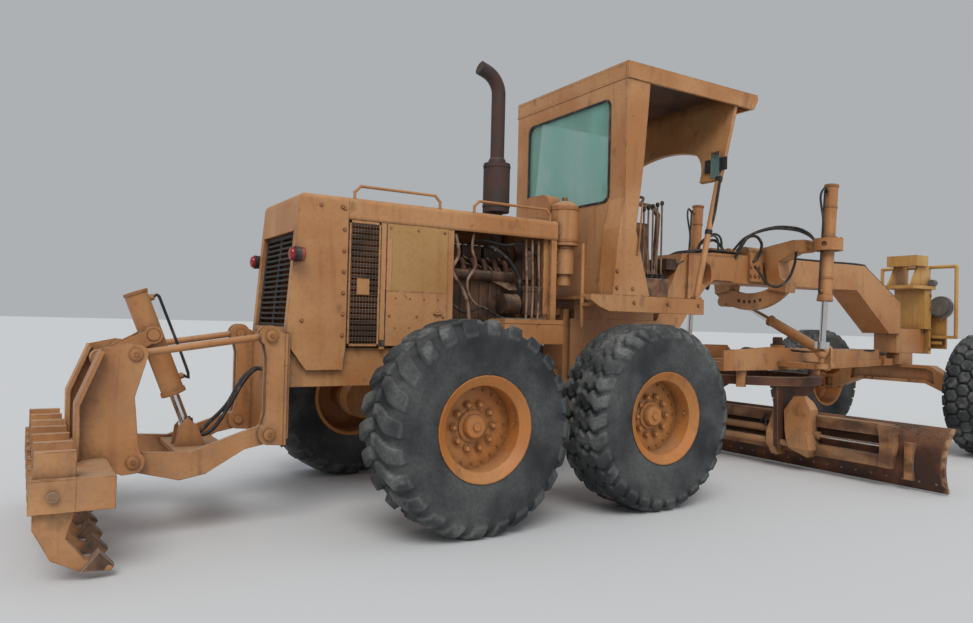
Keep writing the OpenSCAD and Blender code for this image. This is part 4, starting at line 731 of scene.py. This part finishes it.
def dress_stack_and_cleaner():
    """Bands and flanges on the muffler and the tail pipe, and the air cleaner's clamps and wing nut."""
    x, y = 0.0, -0.15
    add_form("muffler_bands", joined(
        turned(band(0.1155, 0.0035, 0.024), 40, [(x, y, z) for z in (2.43, 2.77)]),
        turned([(0.075, 0), (0.075, 0.03), (0.062, 0.05)], 32, (x, y, 2.81)),
        bolts(0.009, [(x - 0.125, y, 2.44), (x - 0.125, y, 2.78)], ASTERN)), "exhaust_steel", REAR)
    x, y = 0.6, -0.34
    add_form("cleaner_bands", joined(
        turned(band(0.1255, 0.0045, 0.022), 40, [(x, y, z) for z in (2.16, 2.44)]),
        turned(band(0.092, 0.003, 0.022), 36, (x, y, 2.1)),
        turned([(0.016, 0), (0.016, 0.03), (0.01, 0.036)], 18, (x, y, 2.53)),
        blocks((x - 0.03, y - 0.004, 2.535), (x + 0.03, y + 0.004, 2.56))), "bolt_paint", REAR)


def dress_lamps():
    """Lenses with rims, and the dark housings of the tail lamps."""
    lens = [(0.046, 0), (0.046, 0.006), (0.04, 0.016), (0.026, 0.022), (0.008, 0.025)]
    add_form("tail_lenses", turned(lens, 32, sided((-1.88, 0.51, 1.88)), ASTERN), "lamp_red", REAR)
    housing = [(0.03, 0), (0.05, 0.015), (0.054, 0.05), (0.054, 0.068), (0.048, 0.07)]
    add_form("tail_housings", turned(housing, 32, sided((-1.806, 0.51, 1.88)), ASTERN),
             "hose_black", REAR)
    glass = joined(lathe_form([(0.15, 0), (0.153, 0.004), (0.153, 0.02), (0.14, 0.026), (0.136, 0.022)], 48),
                   lathe_form([(0.138, 0.018), (0.1, 0.034), (0.05, 0.042), (0.01, 0.044)], 48))
    add_form("head_lamp_glass", copies(glass, sided((7.0375, 0.3, 1.8)), AHEAD), "lamp_clear", FRONT)


def dress_wheels():
    """Wheel nuts, small nuts round the rim's flange, a dished hub with its plug, and the valve."""
    hub = [(0.112, 0), (0.112, 0.01), (0.085, 0.016), (0.078, 0.05), (0.07, 0.058), (0.03, 0.062),
           (0.026, 0.074)]
    for side, sign in SIDES:
        for place, x, track in WHEELS:
            face, out = track + 0.042, (0, sign, 0)
            add_form(f"wheel_nuts_{place}_{side}", joined(
                bolts(0.019, circle_places((x, sign * (face + 0.02), HUB_Z), 0.155, turns(10)), out),
                turned([(0.008, 0), (0.008, 0.008)], 6,
                       circle_places((x, sign * (face + 0.002), HUB_Z), 0.252, turns(20)), out),
                turned(hub, 36, (x, sign * face, HUB_Z), out),
                rods((x + 0.285, sign * (track + 0.13), HUB_Z + 0.02),
                     (x + 0.255, sign * (track + 0.17), HUB_Z + 0.02), 0.007, 10)),
                "rim_paint", f"wheel_{place}_{side}")


# Cab
CAB_REAR, CAB_SIDE = 0.87, 0.8205
WINDOW_W, WINDOW_H, WINDOW_Z, WINDOW_CORNER = 1.22, 0.895, 2.972, 0.07
LEVERS = [(1.66 + i * 0.028, s * (0.226 + i * 0.032), i) for i in range(5) for s in BOTH]


def window_seal():
    """A square-edged band carried round the rear window's outline, a rectangle with round corners."""
    outline = np.concatenate([
        np.stack([sx * (WINDOW_W / 2 - WINDOW_CORNER) + WINDOW_CORNER * np.cos(turn),
                  sy * (WINDOW_H / 2 - WINDOW_CORNER) + WINDOW_CORNER * np.sin(turn) + WINDOW_Z], -1)
        for turn, (sx, sy) in zip(np.linspace(0, math.pi / 2, 8) + np.arange(4)[:, None] * math.pi / 2,
                                  ((1, 1), (-1, 1), (-1, -1), (1, -1)))])
    inward = unit(outline.mean(0) - outline)
    rings = []
    for shift, rise in ((-0.014, 0), (-0.014, 0.01), (0.014, 0.01), (0.014, 0)):
        flat = outline + inward * shift
        rings.append(np.stack([np.full(len(flat), CAB_REAR + 0.004 - rise), flat[:, 0], flat[:, 1]], -1))
    return np.stack(rings, 1).reshape(-1, 3), [grid_faces(len(outline), 4)[:, ::-1]]


def dress_cab():
    """Window seal, handles, mirrors, roof seam, floor treads, and the levers' knobs and boots."""
    add_form("window_seal", window_seal(), "hose_black", FRONT)
    y = 0.822
    handle = tube([(1.02, y - 0.004, 2.05), (1.02, y + 0.006, 2.06), (1.03, y + 0.008, 2.1),
                   (1.06, y + 0.008, 2.45), (1.065, y + 0.006, 2.49), (1.065, y - 0.004, 2.5)], 0.008)
    add_form("cab_handles", mirrored(handle), "bolt_paint", FRONT)
    stay = tube([(1.96, 0.79, 2.35), (1.985, 0.815, 2.5), (2.02, 0.822, 2.7), (2.05, 0.822, 2.86)], 0.012, 12)
    clamps = turned([(0.034, -0.02), (0.034, 0.02)], 20, [(1.945, 0.783, 2.33), (2.075, 0.779, 2.84)],
                    (0.25, 0, 1))
    add_form("mirror_arms", mirrored(joined(stay, clamps)), "hose_black", FRONT)
    plate, plate_faces = lathe_form([(1.0, 0), (1.0, 0.012), (0.93, 0.018)], 4)
    half = math.sqrt(0.5)
    spin = np.array([(half, half, 0), (-half, half, 0), (0, 0, 1)])
    back = copies(((plate @ spin) * (0.26 * half, 0.12 * half, 1), plate_faces), (2.075, 0.745, 2.98), ASTERN)
    add_form("mirror_backs", mirrored(back), "hose_black", FRONT)
    add_form("mirror_faces", mirrored(blocks((2.0555, 0.693, 2.857), (2.057, 0.797, 3.103))),
             "mirror_glass", FRONT)
    treads = on_both_sides(lambda s: block_row(
        (0.8, s * 0.8 - 0.012, 1.7), (0.83, s * 0.8 + 0.012, 1.704), 0.045, 23))
    add_form("floor_treads", treads, "bolt_paint", FRONT)
    knob = [(0.009, 0), (0.016, 0.008), (0.02, 0.022), (0.018, 0.036), (0.009, 0.046)]
    tops = [(x, y, 2.555 + i * 0.014) for x, y, i in LEVERS]
    add_form("lever_knobs", turned(knob, 16, tops), "hose_black", FRONT)
    boot = [(0.03, 0), (0.026, 0.012), (0.03, 0.02), (0.02, 0.03), (0.024, 0.04), (0.012, 0.055)]
    add_form("lever_boots", turned(boot, 16, [(x, y, 1.9) for x, y, _ in LEVERS]), "hose_black", FRONT)
    spots = [(x, CAB_SIDE, z) for x, z in (
        (0.8, 1.76), (0.8, 1.9), (0.98, 1.76), (1.79, 1.64), (1.4, 1.64), (1.0, 1.64))]
    add_form("cab_bolts", mirrored(bolts(0.013, spots, LEFT)), "bolt_paint", FRONT)
    lip = blocks([(CAB_REAR - 0.004, -0.832, 3.556), (2.545, -0.8, 3.64)],
                 [(CAB_REAR + 0.012, 0.832, 3.574), (2.556, 0.8, 3.652)])
    add_form("roof_lip", lip, "body_paint", FRONT)
    # A dark sheet under the roof: painted shade of its underside
    add_form("roof_underside_shade", blocks((1.1, -0.6, 3.655), (2.2, 0.6, 3.675)), "lining", FRONT)


def soft(value, power):
    """A value bent towards its limits, with its sign kept."""
    return np.sign(value) * np.abs(value) ** power


def pad_form(length, width, height, crown, channels):
    """A closed cushion: a box with soft corners whose top is crowned and drawn in along its sewn channels."""
    rows, columns, depth = 48, 72, 0.007
    up = np.linspace(-math.pi / 2 + 0.02, math.pi / 2 - 0.02, rows)[:, None]
    around = np.linspace(0, TAU, columns, endpoint=False)[None, :]
    x = length / 2 * soft(np.cos(up), 0.25) * soft(np.cos(around), 0.22)
    y = width / 2 * soft(np.cos(up), 0.25) * soft(np.sin(around), 0.22)
    z = height / 2 * soft(np.sin(up), 0.45) + 0 * around
    rise = np.clip(1 - (2 * x / length) ** 2, 0, 1) * np.clip(1 - (2 * y / width) ** 2, 0, 1)
    top = z > 0
    z = z + top * crown * rise
    for place in channels:
        z = z - top * depth * np.exp(-((x - place) / 0.01) ** 2) * np.clip(rise * 3, 0, 1)
    return np.stack([x, y, z], -1).reshape(-1, 3), end_faces(rows, columns)


def make_seat():
    """Seat on its pedestal: a sewn cushion, a back cushion with rolled edges, and arm rails."""
    lower, faces = pad_form(0.44, 0.49, 0.105, 0.018, (-0.11, 0.0, 0.11))
    seat = add_form("seat_cushion", (lower + (1.158, 0, 2.02), faces), "seat_cover", FRONT, angle=60)
    upper, faces = pad_form(0.46, 0.47, 0.08, 0.016, (-0.14, -0.05, 0.04, 0.13))
    standing = np.stack([upper[:, 2], upper[:, 1], -upper[:, 0]], -1)
    back = add_form("seat_back", (standing + (0.968, 0, 2.325), faces), "seat_cover", FRONT, angle=60)
    pedestal = joined(blocks([(1.02, -0.16, 1.7), (0.96, -0.22, 1.945), (0.924, -0.2, 2.08)],
                             [(1.22, 0.16, 1.945), (1.36, 0.22, 1.966), (0.934, 0.2, 2.52)]),
                      rods(sided((1.0, 0.235, 1.96)), sided((1.3, 0.235, 1.96)), 0.012, 10))
    add_form("seat_base", pedestal, "hose_black", FRONT)
    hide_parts("operator_seat")


# Ripper
RIPPER_PIN_X, CARRIAGE_PIN_X = -2.0, -2.84
SHANK_X, SHANK_Z, SHANK_PITCH = -3.29, 0.475, 0.34
TIP_SECTION = np.array([(-3.15, 0.052), (-3.06, 0.15), (-2.982, 0.066), (-2.998, 0.04)])


def ripper_tip(y):
    """A worn tip on a shank: a four-sided wedge, narrower at its point."""
    half = np.array((0.045, 0.045, 0.033, 0.033))
    rings = [np.stack([TIP_SECTION[:, 0], y + s * half, TIP_SECTION[:, 1]], -1) for s in BOTH]
    faces = [(0, 1, 2, 3), (7, 6, 5, 4), (0, 4, 5, 1), (1, 5, 6, 2), (2, 6, 7, 3), (3, 7, 4, 0)]
    return np.concatenate(rings), [np.array(faces)]


def dress_ripper():
    """Pin caps and their bolts, worn tips, shank pins, the cylinder's collar and ports, and the hoses."""
    cap = joined(lathe_form([(0.04, 0), (0.04, 0.01), (0.034, 0.014)], 28),
                 lathe_form([(0.012, 0.014), (0.012, 0.02)], 6))
    for side, s in (("right", -1), ("left", 1)):
        for name, x, y, heights, body in (
                ("bracket", RIPPER_PIN_X, 0.5, (0.64, 1.31), REAR),
                ("carriage", CARRIAGE_PIN_X, 0.4965, (0.515, 1.185), "ripper_carriage")):
            add_form(f"{name}_pin_caps_{side}", copies(cap, [(x, s * y, z) for z in heights], (0, s, 0)),
                     "bolt_paint", body)
    places = np.arange(-3, 4) * SHANK_PITCH

    def beside(shift):
        """A place beside each shank, on the line of its pin."""
        return [(SHANK_X, y + shift, SHANK_Z) for y in places]

    pins = joined(rods(beside(-0.092), beside(0.092), 0.02, 16),
                  turned([(0.028, 0), (0.028, 0.012)], 18, beside(-0.089), (0, -1, 0)))
    add_form("shank_pins", pins, "worn_brown", "ripper_carriage")
    welds = blocks([(-3.398, y - 0.078, 0.556) for y in places], [(-3.18, y - 0.046, 0.566) for y in places])
    add_form("pocket_welds", welds, "body_paint", "ripper_carriage")
    add_form("ripper_tips", joined(*(ripper_tip(y) for y in places)), "worn_brown", "ripper_carriage")
    trunnion, eye = np.array((-2.69, 0, 1.3)), np.array((-2.445, 0, 0.66))
    axis = unit(eye - trunnion)
    out = np.array((-axis[2], 0, axis[0]))
    front, rear = trunnion + axis * 0.34, trunnion - axis * 0.24
    ends = joined(turned([(0.082, 0), (0.084, 0.004), (0.084, 0.03), (0.05, 0.034)], 36,
                         trunnion + axis * 0.41, axis),
                  turned([(0.078, 0), (0.08, 0.004), (0.08, 0.02), (0.06, 0.024)], 36,
                         trunnion - axis * 0.29, -axis),
                  turned([(0.022, 0), (0.022, 0.03), (0.016, 0.034)], 16,
                         [front + out * 0.068, rear + out * 0.068], out))
    add_form("ripper_cylinder_ends", ends, "bolt_paint", "ripper_barrel")
    pipe = tube([rear + out * 0.1, rear + out * 0.13, rear + axis * 0.1 + out * 0.135, front + out * 0.135,
                 front + out * 0.1], 0.01)
    add_form("ripper_pipe", pipe, "hose_black", "ripper_barrel")
    loops = tubes([[(-1.905, 0.06 + s * 0.03, 1.05), (-1.97, 0.05 + s * 0.03, 1.05),
                    (-2.06, 0.02 + s * 0.04, 0.97), (-2.16, s * 0.04, 0.8),
                    (-2.27, s * 0.05, 0.66 + s * 0.02), (-2.36, s * 0.05, 0.6),
                    (-2.41, s * 0.045, 0.66), (-2.425, s * 0.04, 0.72)] for s in BOTH], 0.014, 12)
    hoses = add_form("ripper_hoses", loops, "hose_black", None)
    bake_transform(hoses)


# Front half: beam, lift arms, drawbar, blade and axle
def dress_beam():
    """Lines along the beam, hoses over the saddle and its bolts, the hitch's pin caps and the valves."""
    lines = tubes(sided([(3.78, 0.15, 2.262), (4.6, 0.15, 2.268), (5.4, 0.15, 2.276), (5.55, 0.15, 2.225),
                         (6.1, 0.15, 1.935), (6.235, 0.15, 1.868)]), 0.012, 8, 0.04)
    add_form("beam_lines", lines, "hose_black", FRONT)
    rings = tubes(sided([(3.02, 0.2, 2.19), (3.05, 0.24, 2.3), (3.13, 0.27, 2.42), (3.26, 0.28, 2.44),
                         (3.36, 0.27, 2.36), (3.36, 0.23, 2.24), (3.3, 0.2, 2.17)]), 0.016, 12)
    arcs = tubes([route for i in range(2) for route in sided([
        (3.1 + i * 0.06, 0.1, 2.29), (3.2 + i * 0.05, 0.2, 2.44 + i * 0.02),
        (3.35 + i * 0.03, 0.4, 2.52 + i * 0.02), (3.47, 0.6, 2.5 + i * 0.025),
        (3.5, 0.735, 2.44 + i * 0.02), (3.53, 0.79, 2.385)])], 0.013)
    drops = tubes(sided([(3.47, 0.62, 2.27), (3.5, 0.58, 2.14), (3.46, 0.54, 1.99), (3.37, 0.48, 1.9),
                         (3.27, 0.42, 1.93), (3.22, 0.37, 2.03), (3.22, 0.3, 2.12)]), 0.014, 12)
    add_form("saddle_hoses", joined(rings, arcs, drops), "hose_black", FRONT)
    rows = bolts(0.016, [(3.27 + i * 0.07, 0.2065, z) for i in range(3) for z in (2.02, 2.12)], LEFT)
    add_form("beam_bolts", mirrored(rows), "bolt_paint", FRONT)
    caps = turned([(0.045, 0), (0.045, 0.018), (0.036, 0.022)], 28, [(0.58, 0, 1.586), (0.58, 0, 1.03)])
    add_form("hitch_pin_caps", caps, "bolt_paint", FRONT)
    valves = blocks([(2.02, s * 0.1 - 0.08, 2.02) for s in BOTH],
                    [(2.16, s * 0.1 + 0.08, 2.13) for s in BOTH])
    add_form("valve_blocks", valves, "engine_metal", FRONT)
    hoses = tubes([route for i in range(4) for route in sided([
        (2.16, 0.05 + 0.04 * i, 2.06), (2.26, 0.05 + 0.04 * i, 2.12), (2.5, 0.05 + 0.03 * i, 2.245),
        (2.8, 0.05 + 0.03 * i, 2.262), (3.2, 0.05 + 0.025 * i, 2.266)])], 0.012)
    add_form("valve_hoses", hoses, "hose_black", FRONT)


def dress_lift_cylinders():
    """Glands, caps, ports and the pipes down beside each lift barrel, and the shift barrel's gland."""
    lean = math.radians(4)
    axis = np.array((math.sin(lean), 0, math.cos(lean)))
    out = np.array((-axis[2], 0, axis[0]))
    for side, sign in SIDES:
        pivot = np.array((3.6, sign * 0.9, 2.33))
        foot, head, across = pivot - axis * 0.49, pivot + axis * 0.53, np.array((0, sign * 0.02, 0))
        ends = joined(
            turned([(0.07, 0), (0.072, 0.004), (0.072, 0.026), (0.05, 0.032), (0.02, 0.04)], 32,
                   pivot + axis * 0.6, axis),
            turned([(0.077, 0), (0.079, 0.004), (0.079, 0.024), (0.045, 0.03)], 32,
                   pivot - axis * 0.56, -axis),
            turned([(0.0655, 0), (0.07, 0.003), (0.07, 0.022), (0.0655, 0.025)], 32,
                   [pivot - axis * 0.36, pivot + axis * 0.38], axis),
            turned([(0.02, 0), (0.02, 0.025), (0.014, 0.03)], 14,
                   [foot + out * 0.06, head + out * 0.06], out))
        add_form(f"lift_ends_{side}", ends, "bolt_paint", f"lift_barrel_{side}")
        low, high = foot + out * 0.088, head + out * 0.088
        pipes = joined(
            tube([low, low + out * 0.014, low + axis * 0.06 + out * 0.02, high - axis * 0.06 + out * 0.02,
                  high + out * 0.014, high], 0.01),
            tube([high + across, high + out * 0.05 + across + (0, 0, 0.04), high + out * 0.09 + (0, 0, -0.06),
                  pivot + axis * 0.25 + out * 0.11, pivot + axis * 0.1 + out * 0.1], 0.011))
        add_form(f"lift_pipes_{side}", pipes, "hose_black", f"lift_barrel_{side}")
        spots = circle_places(pivot + (0, 0, 0.062), 0.118,
                              np.radians((-108, -60, -20, 20, 60, 108)), level=True)
        add_form(f"ring_bolts_{side}", bolts(0.014, spots, UP), "bolt_paint", FRONT)
    head = np.array((3.815, 0.39, 1.76))
    along = unit((3.815, -0.7, 1.23) - head)
    gland = turned([(0.06, 0), (0.063, 0.004), (0.063, 0.028), (0.045, 0.032)], 30,
                   head + along * 0.51, -along)
    add_form("shift_gland", gland, "bolt_paint", "shift_barrel")


def dress_blade():
    """Edge bolts, the shoes' bolts, the swivel and hoses over the circle, and the drive's fittings."""
    edge_x = 3.56 - 0.048 + 0.085 * math.sin(math.radians(10))
    edge = [(edge_x, y, 0.1) for y in np.linspace(-2.05, 2.05, 28)]
    add_form("edge_bolts", bolts(0.013, edge, (-1, 0, 0.35)), "worn_brown", "moldboard")
    shoes = [(3.4785, s * (0.482 + d), z) for s in BOTH for d in (-0.03, 0.03) for z in (0.33, 0.4, 0.59)]
    add_form("shoe_bolts", bolts(0.011, shoes, AHEAD), "bolt_paint", "blade_carrier")
    swivel = joined(turned([(0.085, 0), (0.085, 0.05), (0.06, 0.07), (0.06, 0.13), (0.04, 0.14)], 28,
                           (3.4, 0, 1.045)),
                    blocks((3.3, -0.2, 1.03), (3.5, 0.2, 1.052)))
    add_form("circle_swivel", swivel, "engine_metal", "drawbar")
    hoses = tubes(sided([(3.4, 0.05, 1.12), (3.52, 0.12, 1.19), (3.72, 0.22, 1.22), (3.95, 0.3, 1.21),
                         (4.25, 0.36, 1.19), (4.6, 0.3, 1.2), (5.2, 0.22, 1.21), (5.75, 0.13, 1.21)]),
                  0.013, 10, 0.03)
    add_form("drawbar_hoses", hoses, "hose_black", "drawbar")
    motor = joined(turned([(0.055, 0), (0.055, 0.08), (0.045, 0.09)], 28, (4.02, 0, 1.268)),
                   bolts(0.012, circle_places((4.02, 0, 1.269), 0.066, turns(6), level=True), UP))
    add_form("drive_motor", motor, "engine_metal", "drawbar")
    guides = [circle_places((3.58, 0, 1.021), radius, np.radians((-30, 30, 150, 210)), level=True)
              for radius in (0.69, 0.735)]
    add_form("guide_bolts", bolts(0.015, np.concatenate(guides), UP), "bolt_paint", "drawbar")
    carrier = tubes(sided([(3.32, 0.4, 0.42), (3.38, 0.34, 0.52), (3.445, 0.28, 0.5), (3.447, 0.22, 0.418)]),
                    0.012)
    add_form("shift_hoses", carrier, "hose_black", "blade_carrier")


def dress_front_end():
    """Bolts of the front guard's post, of the tandem's covers and of the axle's pivot."""
    posts = on_both_sides(lambda s: bolts(
        0.016, [(6.93, s * 0.2045, z) for z in (1.24, 1.5, 1.78, 1.96)], (0, s, 0)))
    add_form("guard_post_bolts", posts, "guard_paint", FRONT)
    covers = joined(bolts(0.014, circle_places((0, 0.841, HUB_Z), 0.18, turns(12)), LEFT),
                    *(bolts(0.011, circle_places((x, 0.841, HUB_Z), 0.15, turns(10)), LEFT)
                      for x in (-TANDEM_HALF, TANDEM_HALF)))
    add_form("tandem_bolts", mirrored(covers), "bolt_paint", REAR)
    pivot = bolts(0.012, [(6.359, s * y, 0.83) for s in BOTH for y in (0.25, 0.35)], ASTERN)
    add_form("axle_bolts", pivot, "bolt_paint", FRONT)


# Stage, light and camera
FLOOR_HALF = 300.0


def make_stage():
    """A plain pale floor under an even sky, with one broad soft light from behind the viewer's left."""
    mesh = bpy.data.meshes.new("floor")
    corners = [(x * FLOOR_HALF, y * FLOOR_HALF, 0) for x, y in ((-1, -1), (1, -1), (1, 1), (-1, 1))]
    mesh.from_pydata(corners, [], [(0, 1, 2, 3)])
    floor = bpy.data.objects.new("floor", mesh)
    bpy.context.scene.collection.objects.link(floor)
    tree, shader = start_material("floor_pale", roughness=0.9)
    tree.feed(shader, {"Base Color": (0.62, 0.63, 0.64)})
    mesh.materials.append(MATERIALS["floor_pale"])
    world = bpy.data.worlds.new("sky")
    bpy.context.scene.world = world
    world.use_nodes = True
    tree = Shading(world.node_tree)
    tree.tree.nodes.clear()
    path = tree.node("ShaderNodeLightPath").outputs
    seen = tree.math("MAXIMUM", path["Is Camera Ray"], path["Is Glossy Ray"])
    seen = tree.math("MAXIMUM", seen, path["Is Transmission Ray"])
    color = tree.mix(seen, (0.92, 0.96, 1.0), (0.7, 0.73, 0.76))
    light = tree.node("ShaderNodeBackground", {"Color": color, "Strength": 0.6})
    tree.node("ShaderNodeOutputWorld", {0: light.outputs[0]})
    sun = bpy.data.lights.new("sun", "SUN")
    sun.energy, sun.angle, sun.color = 1.6, math.radians(35), (1.0, 0.97, 0.93)
    lamp = bpy.data.objects.new("sun", sun)
    lamp.rotation_euler = Vector((0.45, 0.75, -1.05)).to_track_quat("-Z", "Y").to_euler()
    bpy.context.scene.collection.objects.link(lamp)


def make_camera():
    """The photograph's own view, worked out from the wheels and the uprights."""
    yaw, pitch, roll = math.radians(31.93), math.radians(0.935), math.radians(1.402)
    ahead = np.array([math.sin(yaw) * math.cos(pitch), math.cos(yaw) * math.cos(pitch), math.sin(pitch)])
    level = np.array([math.cos(yaw), -math.sin(yaw), 0])
    above = np.cross(level, ahead)
    right = math.cos(roll) * level + math.sin(roll) * above
    up = -math.sin(roll) * level + math.cos(roll) * above
    data = bpy.data.cameras.new("camera")
    data.lens, data.sensor_width, data.clip_end = 27.68, 36, 1000
    camera = bpy.data.objects.new("camera", data)
    place = placed((-3.46, -5.59, 1.43))
    matrix = Matrix.Identity(4)
    for column, vector in enumerate((right, up, -ahead, place)):
        for row in range(3):
            matrix[row][column] = vector[row]
    camera.matrix_world = matrix
    bpy.context.scene.collection.objects.link(camera)
    bpy.context.scene.camera = camera


make_camera()
make_stage()
dress_frame()
make_tyres()
dress_guard_and_panels()
dress_engine()
dress_stack_and_cleaner()
dress_lamps()
dress_wheels()
dress_cab()
make_seat()
dress_ripper()
dress_beam()
dress_lift_cylinders()
dress_blade()
dress_front_end()

bpy.context.scene.view_settings.view_transform = "Standard"
